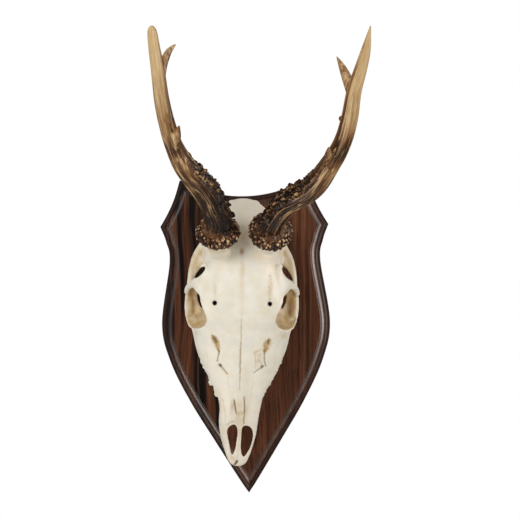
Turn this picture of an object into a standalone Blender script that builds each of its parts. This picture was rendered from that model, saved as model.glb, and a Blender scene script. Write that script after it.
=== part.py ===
# A roe deer skull with its two antlers on a shaped wooden shield that hangs on a wall.
# Metres, +Z up. The viewer looks along +Y, and the shield's flat back lies on y = 0.
import math

import bmesh
import bpy
from mathutils import Matrix, Vector

# Shield outline: half widths and heights, measured from the middle of its height
PLAQUE_HEIGHT = 0.2432
PLAQUE_THICKNESS = 0.018
CORNER_HALF_WIDTH = 0.0495
TOP_EDGE_DIP = 0.0133
SHOULDER_HALF_WIDTH = 0.0652
SHOULDER_DROP = 0.036
SHOULDER_HOLLOW = 0.0017
NECK_HALF_WIDTH = 0.0608
NECK_DROP = 0.048
WAIST_HALF_WIDTH = 0.0585
WAIST_DROP = 0.064
BELLY_HALF_WIDTH = 0.0654
BELLY_DROP = 0.111
# The lower side as shares of the belly's half width and of the drop from belly to tip
FLANK_SHARES = ((0.908, 0.222), (0.683, 0.456), (0.399, 0.689), (0.104, 0.924))
# Faces along half of the top edge, along a shoulder and down a side
OUTLINE_FACES = (5, 3, 19)

# Moulded edge, from the flat field outwards
STEP_HEIGHT = 0.0012
OVOLO_WIDTH = 0.0037
OVOLO_HEIGHT = 0.004
COVE_RADIUS = 0.003
LEDGE_WIDTH = 0.001

# Keyhole slot in the back, for one screw in the wall
KEYHOLE_ENTRY_DIAMETER = 0.0106
KEYHOLE_NECK_WIDTH = 0.0056
KEYHOLE_TRAVEL = 0.014
KEYHOLE_DEPTH = 0.009
KEYHOLE_LIP = 0.003
KEYHOLE_ENTRY_HEIGHT = 0.07

# Skull: its own forms are shares of its length, in two hundredths
SKULL_LENGTH = 0.203
SKULL_TOP_HEIGHT = 0.1055
SKULL_TILT = math.radians(1.9)
CONTACT_GAP = 0.0003
SKULL_UNIT = SKULL_LENGTH / 200
SKULL_VOXEL = 1.25 * SKULL_UNIT
SKULL_TRIANGLES = 4100
MUZZLE_SWAY = 1.8

# Antlers: their forms are shares of the antler's reach, in two hundredths
ANTLER_REACH = 0.203
ANTLER_UNIT = ANTLER_REACH / 200
BURR_RADIUS = 0.016
BURR_KNOBS = 10
BURR_KNOB_HEIGHT = 0.0009
BURR_THICKNESS = 0.0085
PEDICLE_RADIUS = 0.0098

WOOD = ("dark_oak", (0.055, 0.022, 0.014), 0.35, 0.0)
BONE = ("bleached_bone", (0.80, 0.74, 0.62), 0.55, 0.0)
ANTLER = ("antler_horn", (0.20, 0.11, 0.055), 0.5, 0.0)


# Scene, material and mesh helpers
def clear_scene():
    for thing in list(bpy.data.objects):
        bpy.data.objects.remove(thing, do_unlink=True)


def make_material(name, colour, roughness, metallic):
    material = bpy.data.materials.new(name)
    material.use_nodes = True
    shader = material.node_tree.nodes["Principled BSDF"]
    shader.inputs["Base Color"].default_value = (*colour, 1.0)
    shader.inputs["Roughness"].default_value = roughness
    shader.inputs["Metallic"].default_value = metallic
    return material


def add_object(name, shape, parent=None):
    bmesh.ops.recalc_face_normals(shape, faces=shape.faces)
    mesh = bpy.data.meshes.new(name)
    shape.to_mesh(mesh)
    shape.free()
    made = bpy.data.objects.new(name, mesh)
    bpy.context.scene.collection.objects.link(made)
    made.parent = parent
    return made


def child(name, shape, parent):
    # A cutter that moves with the head
    made = add_object(name, shape, parent)
    made.hide_render = True
    made.display_type = "WIRE"
    bpy.context.view_layer.update()
    return made


def settle(made):
    # Replaces the mesh with the one its modifiers give
    graph = bpy.context.evaluated_depsgraph_get()
    mesh = bpy.data.meshes.new_from_object(made.evaluated_get(graph))
    made.modifiers.clear()
    made.data = mesh


def combine(made, other, operation):
    # The other object is used up by the cut or the union
    modifier = made.modifiers.new(operation.lower(), "BOOLEAN")
    modifier.operation = operation
    modifier.solver = "EXACT"
    modifier.object = other
    settle(made)
    bpy.data.objects.remove(other, do_unlink=True)


def finish(made, material, sharp_angle):
    made.data.materials.clear()
    made.data.materials.append(make_material(*material))
    made.data.shade_smooth()
    made.data.set_sharp_from_angle(angle=sharp_angle)


def add_loft(shape, rings):
    # Skins closed rings with the same number of points and closes both ends
    loops = [[shape.verts.new(point) for point in ring] for ring in rings]
    for near, far in zip(loops, loops[1:]):
        for i in range(len(near)):
            j = (i + 1) % len(near)
            shape.faces.new((near[i], near[j], far[j], far[i]))
    shape.faces.new(list(reversed(loops[0])))
    shape.faces.new(loops[-1])


def spline(points, steps):
    # A smooth curve through all the points, whatever their number of coordinates
    first = [2 * a - b for a, b in zip(points[0], points[1])]
    last = [2 * a - b for a, b in zip(points[-1], points[-2])]
    padded = [first, *points, last]
    curve = []
    for i in range(1, len(padded) - 2):
        for k in range(steps):
            t = k / steps
            curve.append([
                0.5 * (2 * b + (c - a) * t + (2 * a - 5 * b + 4 * c - d) * t * t
                       + (3 * b - a - 3 * c + d) * t ** 3)
                for a, b, c, d in zip(*padded[i - 1:i + 3])
            ])
    curve.append(list(points[-1]))
    return curve


def sweep_rings(path, radii, sides, start=None, relief=None):
    # Rings square to a path of points, carried along it without twisting
    tangents = [(b - a).normalized() for a, b in zip([path[0], *path], [*path[1:], path[-1]])]
    tangents = [t if t.length > 0 else (path[1] - path[0]).normalized() for t in tangents]
    if start is not None:
        tangents[0] = start.normalized()
    side = tangents[0].orthogonal().normalized()
    run = 0.0
    rings = []
    for i, centre in enumerate(path):
        if i:
            run += (centre - path[i - 1]).length
        side = (side - tangents[i] * side.dot(tangents[i])).normalized()
        across = tangents[i].cross(side)
        ring = []
        for k in range(sides):
            angle = 2 * math.pi * k / sides
            reach = radii[i] + (relief(angle, run) if relief else 0.0)
            ring.append(centre + (side * math.cos(angle) + across * math.sin(angle)) * reach)
        rings.append(ring)
    return rings


def add_tube(shape, points, place, unit, sides=12, steps=4):
    # A tube through points that each hold a place in the head's frame and a radius
    curve = spline(points, steps)
    path = [place(*point[:3]) for point in curve]
    radii = [max(point[3], 0.3) * unit for point in curve]
    add_loft(shape, sweep_rings(path, radii, sides))


def add_ball(shape, centre, radii, turn=Matrix()):
    # An ellipsoid with its radii across, outwards from the wall and up
    stretch = Matrix.Diagonal((*radii, 1.0))
    bmesh.ops.create_uvsphere(
        shape, u_segments=20, v_segments=12, radius=1.0,
        matrix=Matrix.Translation(centre) @ turn @ stretch)


# Shield
def shield_segments():
    # The right half of the outline in three smooth stretches: top edge, shoulder, side
    top = PLAQUE_HEIGHT / 2
    tip = -PLAQUE_HEIGHT / 2
    belly_height = top - BELLY_DROP
    radius = (CORNER_HALF_WIDTH ** 2 + TOP_EDGE_DIP ** 2) / (2 * TOP_EDGE_DIP)
    sweep = math.asin(CORNER_HALF_WIDTH / radius)
    steps = 24
    edge = []
    for k in range(steps + 1):
        angle = sweep * k / steps
        edge.append((radius * math.sin(angle), top - TOP_EDGE_DIP + radius * (1 - math.cos(angle))))
    corner = Vector((CORNER_HALF_WIDTH, top))
    shoulder_point = Vector((SHOULDER_HALF_WIDTH, top - SHOULDER_DROP))
    inward = Vector((shoulder_point.y - corner.y, corner.x - shoulder_point.x)).normalized()
    shoulder = []
    for k in range(steps + 1):
        share = k / steps
        hollow = inward * SHOULDER_HOLLOW * math.sin(math.pi * share)
        shoulder.append(tuple(corner.lerp(shoulder_point, share) + hollow))
    side_points = [
        tuple(shoulder_point),
        (NECK_HALF_WIDTH, top - NECK_DROP),
        (WAIST_HALF_WIDTH, top - WAIST_DROP),
        (BELLY_HALF_WIDTH, belly_height)]
    side_points += [
        (BELLY_HALF_WIDTH * width, belly_height + (tip - belly_height) * drop)
        for width, drop in FLANK_SHARES]
    side_points.append((0.0, tip))
    return edge, shoulder, spline(side_points, 10)


def offset_line(line, inset):
    # Moves a stretch inwards, square to itself, and runs its ends on past the corners
    points = [Vector(point) for point in line]
    moved = []
    for i, point in enumerate(points):
        along = (points[min(i + 1, len(points) - 1)] - points[max(i - 1, 0)]).normalized()
        moved.append(point + Vector((along.y, -along.x)) * inset)
    run_on = 3 * inset + 0.002
    moved.insert(0, moved[0] + (moved[0] - moved[1]).normalized() * run_on)
    moved.append(moved[-1] + (moved[-1] - moved[-2]).normalized() * run_on)
    return moved


def cross(one, other):
    # Where two lines of points meet: the point, and its place along each of them
    for i, (a, b) in enumerate(zip(one, one[1:])):
        for j, (c, d) in enumerate(zip(other, other[1:])):
            r, s = b - a, d - c
            turn = r.x * s.y - r.y * s.x
            if abs(turn) < 1e-12:
                continue
            t = ((c - a).x * s.y - (c - a).y * s.x) / turn
            u = ((c - a).x * r.y - (c - a).y * r.x) / turn
            if 0 <= t <= 1 and 0 <= u <= 1:
                return a + r * t, i, j
    return None


def resample(points, count):
    # Points at even steps along a line, its last one left for the next stretch
    lengths = [0.0]
    for a, b in zip(points, points[1:]):
        lengths.append(lengths[-1] + (b - a).length)
    even = []
    for k in range(count):
        wanted = lengths[-1] * k / count
        i = max(n for n, length in enumerate(lengths) if length <= wanted + 1e-12)
        i = min(i, len(points) - 2)
        share = (wanted - lengths[i]) / max(lengths[i + 1] - lengths[i], 1e-12)
        even.append(points[i].lerp(points[i + 1], share))
    return even


def shield_ring(inset, height):
    # The whole outline, drawn in by an inset, as a ring at a height above the back
    middle = [Vector((0.0, -1.0)), Vector((0.0, 1.0))]
    edge, shoulder, side = [offset_line(line, inset) for line in shield_segments()]
    start, i, _ = cross(edge, middle)
    corner, j, k = cross(edge, shoulder)
    turn, m, n = cross(shoulder, side)
    tip, p, _ = cross(side[n + 1:], middle)
    stretches = (
        [start, *edge[i + 1:j + 1], corner],
        [corner, *shoulder[k + 1:m + 1], turn],
        [turn, *side[n + 1:n + 1 + p + 1], tip])
    half = []
    for stretch, faces in zip(stretches, OUTLINE_FACES):
        half += resample(stretch, faces)
    left = [Vector((-point.x, point.y)) for point in reversed(half[1:])]
    return [Vector((point.x, -height, point.y)) for point in [*half, tip, *left]]


def moulding_profile():
    # Inset and height of each ring, from the back edge up to the flat field
    field = PLAQUE_THICKNESS
    ovolo_inset = LEDGE_WIDTH + COVE_RADIUS + OVOLO_WIDTH
    ovolo_base = field - STEP_HEIGHT - OVOLO_HEIGHT
    profile = [(0.0, 0.0), (0.0, ovolo_base - COVE_RADIUS - LEDGE_WIDTH / 3)]
    profile.append((LEDGE_WIDTH / 3, ovolo_base - COVE_RADIUS))
    for k in range(4):
        angle = math.pi / 2 * k / 3
        profile.append((LEDGE_WIDTH + COVE_RADIUS * math.sin(angle),
                        ovolo_base - COVE_RADIUS * math.cos(angle)))
    for k in range(1, 5):
        angle = math.pi / 2 * k / 4
        profile.append((ovolo_inset - OVOLO_WIDTH * math.cos(angle),
                        ovolo_base + OVOLO_HEIGHT * math.sin(angle)))
    profile.append((ovolo_inset, field))
    return profile


def slot_cutter(width, bottom, top, near, far):
    # An upright slot with round ends that runs into the shield from near to far
    shape = bmesh.new()
    radius = width / 2
    steps = 12
    ring = []
    for sign, middle in ((1, top), (-1, bottom)):
        for k in range(steps + 1):
            angle = math.pi * k / steps
            ring.append((sign * radius * math.cos(angle), middle + sign * radius * math.sin(angle)))
    add_loft(shape, [[Vector((x, y, z)) for x, z in ring] for y in (near, far)])
    return add_object("cutter", shape)


def make_shield():
    shape = bmesh.new()
    add_loft(shape, [shield_ring(inset, height) for inset, height in moulding_profile()])
    shield = add_object("shield_plaque", shape)
    # The entry hole, the narrow neck and the wide track behind the lip, each from near to far
    clear = 0.001
    low = KEYHOLE_ENTRY_HEIGHT
    high = KEYHOLE_ENTRY_HEIGHT + KEYHOLE_TRAVEL
    for width, top, near in (
            (KEYHOLE_ENTRY_DIAMETER, low, clear),
            (KEYHOLE_NECK_WIDTH, high, clear),
            (KEYHOLE_ENTRY_DIAMETER, high, -KEYHOLE_LIP)):
        combine(shield, slot_cutter(width, low, top, near, -KEYHOLE_DEPTH), "DIFFERENCE")
    finish(shield, WOOD, math.radians(35))


# Skull: across, down from the crown, and out from the shield, in the skull's units
def skull_place(across, down, out):
    # The muzzle grew a little to the viewer's left
    share = min(max((down - 150) / 22, 0), 1)
    sway = MUZZLE_SWAY * share * share * (3 - 2 * share)
    return Vector((across - sway, -out, -down)) * SKULL_UNIT


# Cross sections: down, half width, height of the widest place, top, base, roundness above, below
SKULL_SECTIONS = (
    (0.3, 3, 36, 40, 30, 2.0, 2.0),
    (1.5, 7.5, 36, 45, 25, 2.0, 2.0),
    (4.5, 13, 36, 49.5, 20, 2.0, 2.0),
    (10, 19, 35, 55, 15, 2.0, 2.2),
    (18, 25, 35, 60.5, 13, 2.0, 2.2),
    (28, 28.5, 36, 65.5, 12, 2.1, 2.2),
    (38, 29.5, 38, 70.5, 13, 2.3, 2.2),
    (48, 29.5, 42, 74.5, 16, 2.6, 2.0),
    (58, 29, 52, 75.5, 18, 2.8, 1.8),
    (68, 29, 62, 75, 18, 2.8, 1.7),
    (78, 30, 62, 72.5, 18, 2.7, 1.7),
    (90, 32.5, 54, 67.5, 16, 2.3, 1.9),
    (99, 35, 42, 62, 15, 2.2, 2.2),
    (108, 33.4, 36, 57, 14, 2.1, 2.3),
    (120, 30.4, 31, 50.5, 13.5, 2.0, 2.4),
    (130, 26, 28, 45, 13, 2.0, 2.4),
    (140, 20.5, 26, 40.5, 12.5, 2.1, 2.4),
    (148, 17, 25, 37.2, 12, 2.2, 2.4),
    (156, 15.3, 23.5, 34, 12, 2.4, 2.4),
    (166, 15, 20.5, 29.5, 11.5, 2.5, 2.4),
    (176, 14.2, 17, 24.5, 11, 2.5, 2.4),
    (187, 11.7, 14.5, 20, 10.5, 2.4, 2.4),
    (194.5, 8.9, 13, 17, 10, 2.4, 2.4),
    (199, 6.8, 12.5, 15.5, 9.8, 2.3, 2.3),
    (201.2, 3.2, 12.2, 13.8, 10.5, 2.0, 2.0),
)


def section_ring(down, half, waist, top, base, round_up, round_down, sides=28):
    ring = []
    for k in range(sides):
        angle = 2 * math.pi * k / sides
        x, y = math.cos(angle), math.sin(angle)
        power = 2 / (round_up if y > 0 else round_down)
        height = (top - waist if y > 0 else waist - base) * abs(y) ** power
        ring.append(skull_place(
            half * math.copysign(abs(x) ** power, x), down, waist + math.copysign(height, y)))
    return ring


# Pedicle seats: centre and the way the antler leaves it, across, up and outwards
SEATS = {
    "left": ((-17.2, 29.0, 80.0), (-0.05, 0.70, 0.71)),
    "right": ((19.6, 27.0, 79.0), (0.10, 0.52, 0.85)),
}


def seat_normal(side):
    across, up, out = SEATS[side][1]
    return Vector((across, -out, up)).normalized()


# Eye sockets: the middle of the opening, its radii along the skull and across, how it leans,
# how deep the bowl is, its wall and how far its hollow is moved outwards
SOCKET_CENTRE = (35.6, 79.5, 49.5)
SOCKET_RADII = (17.4, 17.2)
SOCKET_LEAN = math.radians(19.5)
SOCKET_DEPTH = 14.5
SOCKET_WALL = 2.3
SOCKET_SHIFT = 0.8
# Half the rim's thickness, and what the broad cheek side adds to it
RIM_SHAPE = (1.9, 0.9)


def socket_turn(sign):
    # Local X looks out of the socket, Y crosses the opening towards the shield, Z runs up the skull
    return Matrix.Rotation(-sign * SOCKET_LEAN, 4, "Z")


def socket_ball(sign, grow, shift):
    # The bowl behind the opening, as a ball that shift moves in or out of it
    shape = bmesh.new()
    along, across = SOCKET_RADII
    turn = socket_turn(sign)
    centre = skull_place(sign * SOCKET_CENTRE[0], *SOCKET_CENTRE[1:])
    centre += turn @ Vector((sign * shift * SKULL_UNIT, 0, 0))
    radii = [SKULL_UNIT * (radius + grow) for radius in (SOCKET_DEPTH, across, along)]
    add_ball(shape, centre, radii, turn)
    return shape


def make_socket(sign, head):
    # A thin bowl, open to the side, with a rounded rim
    bowl = add_object("bowl", socket_ball(sign, SOCKET_WALL, 0), head)
    combine(bowl, child("inside", socket_ball(sign, 0, SOCKET_SHIFT), head), "DIFFERENCE")
    front = bmesh.new()
    size = 60 * SKULL_UNIT
    centre = skull_place(sign * SOCKET_CENTRE[0], *SOCKET_CENTRE[1:])
    bmesh.ops.create_cube(
        front, size=size,
        matrix=Matrix.Translation(centre) @ socket_turn(sign) @ Matrix.Translation((sign * size / 2, 0, 0)))
    combine(bowl, child("front", front, head), "DIFFERENCE")
    return bowl


def add_rim(shape, sign):
    turn = socket_turn(sign)
    centre = skull_place(sign * SOCKET_CENTRE[0], *SOCKET_CENTRE[1:])
    along, across = (SKULL_UNIT * (radius + 0.6 * SOCKET_WALL) for radius in SOCKET_RADII)
    loops = []
    steps = 24
    sides = 8
    for k in range(steps):
        angle = 2 * math.pi * k / steps
        outward = Vector((0, across * math.cos(angle), along * math.sin(angle)))
        # The cheek side of the rim, nearest the shield, is the broad one
        thick = SKULL_UNIT * (RIM_SHAPE[0] + RIM_SHAPE[1] * max(0, math.cos(angle)))
        ring = []
        for n in range(sides):
            turned = 2 * math.pi * n / sides
            offset = outward.normalized() * math.cos(turned) + Vector((math.sin(turned), 0, 0))
            ring.append(shape.verts.new(centre + turn @ (outward + offset * thick)))
        loops.append(ring)
    for near, far in zip(loops, [*loops[1:], loops[0]]):
        for i in range(sides):
            j = (i + 1) % sides
            shape.faces.new((near[i], near[j], far[j], far[i]))


# Bones on each side, as tubes of places and radii, in the skull's units
CHEEK_ARCH = ((38.5, 88, 33, 3.4), (39.6, 76, 32.5, 3.2), (38.8, 64, 33.5, 2.8), (37.6, 52, 34, 2.8),
              (34.8, 43, 33, 3.4), (30, 38, 31, 4.5), (23, 34, 30, 5))
SOCKET_POST = ((20, 66, 68, 7.0), (27.5, 66, 65.5, 6.0), (33, 66, 58, 4.4),
               (37, 66.5, 47, 3.2), (39.2, 68, 36, 3.0))
CHEEK_BONE = ((36, 88, 33, 4.5), (32, 98, 32, 4.8), (28.4, 112, 28.5, 5), (22.6, 126, 24.5, 5.2))
NECK_PROCESS = ((19, 13, 22, 5.0), (19.5, 12, 10, 3.6), (19, 13, -1.5, 2.6))
# Rounded masses on each side: the middle, then the radii across, outwards and along
ARCH_SHELF = ((30.5, 45, 32), (8, 3.2, 8.5))
EAR_BULB = ((14, 27, 10), (6.5, 8.5, 8.5))
NECK_JOINT = ((8, 6.5, 15), (5.5, 8, 6))
WING_BONE = ((8.5, 74, 14), (2.4, 9, 14))


def add_skull_ball(shape, middle, radii, sign=1):
    across, down, out = middle
    add_ball(shape, skull_place(sign * across, down, out), [SKULL_UNIT * radius for radius in radii])


def add_face_bones(shape, sign):
    add_rim(shape, sign)
    for tube in (CHEEK_ARCH, SOCKET_POST, CHEEK_BONE, NECK_PROCESS):
        points = [(sign * across, down, out, radius) for across, down, out, radius in tube]
        add_tube(shape, points, skull_place, SKULL_UNIT)
    for middle, radii in (ARCH_SHELF, EAR_BULB, NECK_JOINT, WING_BONE):
        add_skull_ball(shape, middle, radii, sign)


# Cheek teeth: how far down, how far out to the side, half length, half width
TEETH = ((95, 21.6, 5.6, 5.4), (106, 22.0, 5.8, 5.6), (117, 21.6, 5.6, 5.4),
         (127.5, 20.9, 4.9, 4.9), (137, 19.9, 4.6, 4.6), (146, 17.2, 4.6, 3.8))
# A tooth's rings from the crown to the root: how far out from the shield, and share of its size
TOOTH_RINGS = ((-2.0, 0.72), (1.5, 0.92), (7.0, 1.0), (16.0, 0.85))
TOOTH_SQUARENESS = 0.7


def squared(value):
    # Pushes a circle's sine or cosine out towards a square
    return math.copysign(abs(value) ** TOOTH_SQUARENESS, value)


def add_teeth(shape, sign):
    sides = 14
    for down, across, half_length, half_width in TEETH:
        rings = []
        for out, share in TOOTH_RINGS:
            ring = []
            for k in range(sides):
                angle = 2 * math.pi * k / sides
                ring.append(skull_place(
                    sign * across + half_width * share * squared(math.cos(angle)),
                    down + half_length * share * squared(math.sin(angle)), out))
            rings.append(ring)
        add_loft(shape, rings)


# Hollows: the middle, then the radii across, outwards and along
TEMPLE_HOLLOW = ((43, 50, 50), (15.5, 13, 21))
THROAT_HOLLOW = ((0, 78, 12), (7.4, 11, 13))
GREAT_HOLE = ((0, 2, 19), (5.2, 7.5, 7))
# The nose passage: down, half width, half depth and height of its middle
NOSE_PASSAGE = ((112, 3, 3, 27), (120, 9, 8, 26), (136, 11.5, 8, 25), (152, 11, 6.5, 23),
                (170, 10.4, 4.6, 19), (180, 9, 3, 16), (186, 6, 1.6, 14.5))


def hollow_cutters(head):
    # Eye sockets, temple hollows, nose passage, throat passage and the great hole at the neck
    shape = bmesh.new()
    for sign in (-1, 1):
        add_skull_ball(shape, *TEMPLE_HOLLOW, sign)
        ball = socket_ball(sign, 0, SOCKET_SHIFT)
        mesh = bpy.data.meshes.new("ball")
        ball.to_mesh(mesh)
        shape.from_mesh(mesh)
        ball.free()
    rings = []
    sides = 20
    for down, half, depth, middle in NOSE_PASSAGE:
        angles = [2 * math.pi * k / sides for k in range(sides)]
        rings.append([skull_place(half * math.cos(a), down, middle + depth * math.sin(a)) for a in angles])
    add_loft(shape, rings)
    add_skull_ball(shape, *THROAT_HOLLOW)
    add_skull_ball(shape, *GREAT_HOLE)
    hollows = child("hollows", shape, head)
    fuse(hollows)
    return hollows


def seat_cutter(side, head):
    # Everything above the seat, kept clear of the antler's foot by the contact gap
    normal = seat_normal(side)
    centre = skull_place(*SEATS[side][0]) - normal * CONTACT_GAP
    wide = 1.6 * PEDICLE_RADIUS
    shape = bmesh.new()
    turn = normal.to_track_quat("Z", "Y").to_matrix().to_4x4()
    bmesh.ops.create_cube(
        shape, size=1.0,
        matrix=Matrix.Translation(centre) @ turn
        @ Matrix.Translation((0, 0, wide / 2)) @ Matrix.Diagonal((2 * wide, 2 * wide, wide, 1.0)))
    return child("seat", shape, head)


def board_cutter(head):
    # The space of the shield, so that teeth and neck processes end flat on it
    shape = bmesh.new()
    depth = 6 * SKULL_UNIT
    bmesh.ops.create_cube(
        shape, size=1.0,
        matrix=Matrix.Translation((0, depth / 2, -SKULL_LENGTH / 2))
        @ Matrix.Diagonal((SKULL_LENGTH, depth, 1.2 * SKULL_LENGTH, 1.0)))
    return child("board", shape, head)


# Openings through the top: across, down, half width, half length, lean, outer and inner depth
FORAMINA = ((-19.3, 77.5, 1.5, 1.5, 0.0, 80, 64), (20.7, 77.6, 1.5, 1.5, 0.0, 80, 64))
FISSURES = ((-17.6, 109.5, 1.6, 6.6, -0.50, 66, 44), (17.2, 109.0, 1.7, 5.6, 0.45, 66, 44))
NOSE_SLITS = ((-3.3, 155.5, 0.8, 6.5, -0.05, 44, 24), (3.6, 159.5, 0.7, 12, 0.05, 44, 20))
NOSE_WINDOWS = ((-4.9, 180.6, 3.5, 11.2, 0.0, 30, 0), (6.0, 182.2, 3.9, 11.3, 0.10, 30, 0))


def hole_cutter(opening, head):
    # An oval a little wider at its upper end, carried straight in
    across, down, half_width, half_length, lean, outer, inner = opening
    shape = bmesh.new()
    rings = []
    sides = 12
    for out in (outer, inner):
        ring = []
        for k in range(sides):
            angle = 2 * math.pi * k / sides
            y = -half_length * math.cos(angle)
            x = half_width * math.sin(angle) * (1 + 0.3 * math.cos(angle))
            ring.append(skull_place(
                across + x * math.cos(lean) - y * math.sin(lean),
                down + x * math.sin(lean) + y * math.cos(lean), out))
        rings.append(ring)
    add_loft(shape, rings)
    return child("hole", shape, head)


# A pedicle's rings: height above its seat in the skull's units, and share of its radius
PEDICLE_RINGS = ((-22.0, 1.2), (-13.25, 1.2), (-5.75, 1.08), (-0.75, 1.0), (3.0, 1.0))


def add_pedicle(shape, side):
    # The short stump that carries an antler, spreading into the forehead
    seat = skull_place(*SEATS[side][0])
    path = [seat + seat_normal(side) * height * SKULL_UNIT for height, _ in PEDICLE_RINGS]
    radii = [PEDICLE_RADIUS * share for _, share in PEDICLE_RINGS]
    add_loft(shape, sweep_rings(path, radii, 18))


def make_skull(head):
    shape = bmesh.new()
    add_loft(shape, [section_ring(*section) for section in spline(SKULL_SECTIONS, 2)])
    skull = add_object("skull", shape, head)
    combine(skull, hollow_cutters(head), "DIFFERENCE")

    shape = bmesh.new()
    shape.from_mesh(skull.data)
    for sign in (-1, 1):
        bowl = make_socket(sign, head)
        shape.from_mesh(bowl.data)
        bpy.data.objects.remove(bowl, do_unlink=True)
        add_face_bones(shape, sign)
        add_teeth(shape, sign)
    for side in SEATS:
        add_pedicle(shape, side)
    bmesh.ops.recalc_face_normals(shape, faces=shape.faces)
    shape.to_mesh(skull.data)
    shape.free()
    fuse(skull, SKULL_TRIANGLES)

    for side in SEATS:
        combine(skull, seat_cutter(side, head), "DIFFERENCE")
    combine(skull, board_cutter(head), "DIFFERENCE")
    for opening in (*FORAMINA, *FISSURES, *NOSE_SLITS, *NOSE_WINDOWS):
        combine(skull, hole_cutter(opening, head), "DIFFERENCE")
    finish(skull, BONE, math.radians(50))


def fuse(made, triangles=None):
    # Melts overlapping forms into one skin, as grown bone is
    remesh = made.modifiers.new("fuse", "REMESH")
    remesh.mode = "VOXEL"
    remesh.voxel_size = SKULL_VOXEL
    if triangles:
        soften = made.modifiers.new("soften", "SMOOTH")
        soften.factor = 0.5
        soften.iterations = 5
    settle(made)
    if triangles:
        thin = made.modifiers.new("thin", "DECIMATE")
        thin.ratio = triangles / (2 * len(made.data.polygons))
        thin.use_collapse_triangulate = True
        settle(made)


# Antlers: places like the skull's and a radius, then the front and the rear tine
BEAMS = {
    "left": (
        (-17.8, 14, 98, 9.6), (-25.8, -2.7, 119, 9.0), (-39.4, -18, 138, 7.5), (-46.8, -31, 151, 6.3),
        (-51.2, -44, 162, 5.8), (-54.8, -60, 173, 5.3), (-57.2, -79, 185, 4.7), (-59.7, -95, 193.5, 3.9),
        (-60.9, -104.5, 198, 3.2), (-61.2, -108, 199.6, 1.4)),
    "right": (
        (24.2, 16.5, 100, 9.6), (32.0, 5.4, 113, 9.0), (48.4, -4.8, 131, 8.0), (61.4, -22.5, 150, 7.0),
        (68.3, -36, 162, 6.2), (72.0, -50.5, 172.5, 5.8), (74.3, -68.5, 183.5, 5.0),
        (77.8, -81.5, 191, 4.3), (81.0, -94.5, 198, 3.2), (83.6, -110, 206, 0.5)),
}
TINES = {
    "left": (((-50.4, -40, 163, 4.8), (-47.6, -44.5, 172, 3.0), (-44.6, -45, 180, 0.8)),
             ((-55.8, -76, 184, 4.2), (-52.5, -87, 184, 3.2), (-46.6, -99.5, 181, 0.9))),
    "right": (((68.0, -38, 162, 5.0), (64.2, -36.5, 171, 3.2), (61.6, -31.5, 180, 0.8)),
              ((73.2, -62, 180, 5.0), (69.4, -76, 181, 4.2), (62.6, -92.5, 179, 0.8))),
}


def antler_place(seat, across, down, out):
    # Counted from the crown of the skull, but grown from the seat by the antler's own unit
    base_across, base_down, base_out = seat
    shift = Vector((across - base_across, base_out - out, base_down - down)) * ANTLER_UNIT
    return skull_place(*seat) + shift


# Rows of pearls on the beam: rows round it, size, where along it they are and over what spread
PEARLS = (8, 0.7, 32, 26)
# Long furrows: how many, how deep and how far up the beam they reach
FURROWS = (5, 0.35, 120)
# The burr's rings: shares of its thickness and of its radius
BURR_RINGS = ((0.0, 0.84), (0.2, 0.97), (0.5, 1.0), (0.8, 0.9), (1.0, 0.7))
# Where the beam leaves the burr: share of the burr's thickness, then its radius there
BEAM_LEAD = (1.45, 10.2)


def antler_relief(angle, run):
    # Knobs round the burr, then rows of pearls and long furrows that fade up the beam
    knob = BURR_KNOB_HEIGHT * math.cos(BURR_KNOBS * angle) * math.exp(-(run / BURR_THICKNESS) ** 4)
    rise = run / ANTLER_UNIT
    rows, size, middle, spread = PEARLS
    pearl = size * math.cos(rows * angle + rise) * math.exp(-((rise - middle) / spread) ** 2)
    count, depth, reach = FURROWS
    furrow = depth * math.cos(count * angle) * math.exp(-(rise / reach) ** 2)
    return knob + (pearl - furrow) * ANTLER_UNIT


def make_antler(side, head):
    seat = SEATS[side][0]
    normal = seat_normal(side)
    start = skull_place(*seat)

    def place(*point):
        return antler_place(seat, *point)

    # The burr: a swollen ring on a flat foot, under the first stretch of the beam
    beam = BEAMS[side]
    foot = [start + normal * BURR_THICKNESS * share for share, _ in BURR_RINGS]
    foot_radii = [BURR_RADIUS * share for _, share in BURR_RINGS]
    lead = start + normal * BEAM_LEAD[0] * BURR_THICKNESS
    points = [(*lead, BEAM_LEAD[1] * ANTLER_UNIT)]
    points += [(*place(*point[:3]), point[3] * ANTLER_UNIT) for point in beam]
    rest = spline(points, 3)
    path = foot + [Vector(point[:3]) for point in rest]
    radii = foot_radii + [point[3] for point in rest]
    shape = bmesh.new()
    add_loft(shape, sweep_rings(path, radii, 2 * BURR_KNOBS, normal, antler_relief))
    antler = add_object("antler_" + side, shape, head)
    for points in TINES[side]:
        shape = bmesh.new()
        add_tube(shape, points, place, ANTLER_UNIT, sides=10, steps=3)
        combine(antler, child("tine", shape, head), "UNION")
    finish(antler, ANTLER, math.radians(60))


def make_all():
    clear_scene()
    make_shield()
    head = bpy.data.objects.new("head", None)
    bpy.context.scene.collection.objects.link(head)
    head.location = (0.0, -PLAQUE_THICKNESS - CONTACT_GAP, SKULL_TOP_HEIGHT)
    head.rotation_euler = (0.0, SKULL_TILT, 0.0)
    bpy.context.view_layer.update()
    make_skull(head)
    for side in SEATS:
        make_antler(side, head)


make_all()
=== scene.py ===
import math

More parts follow.
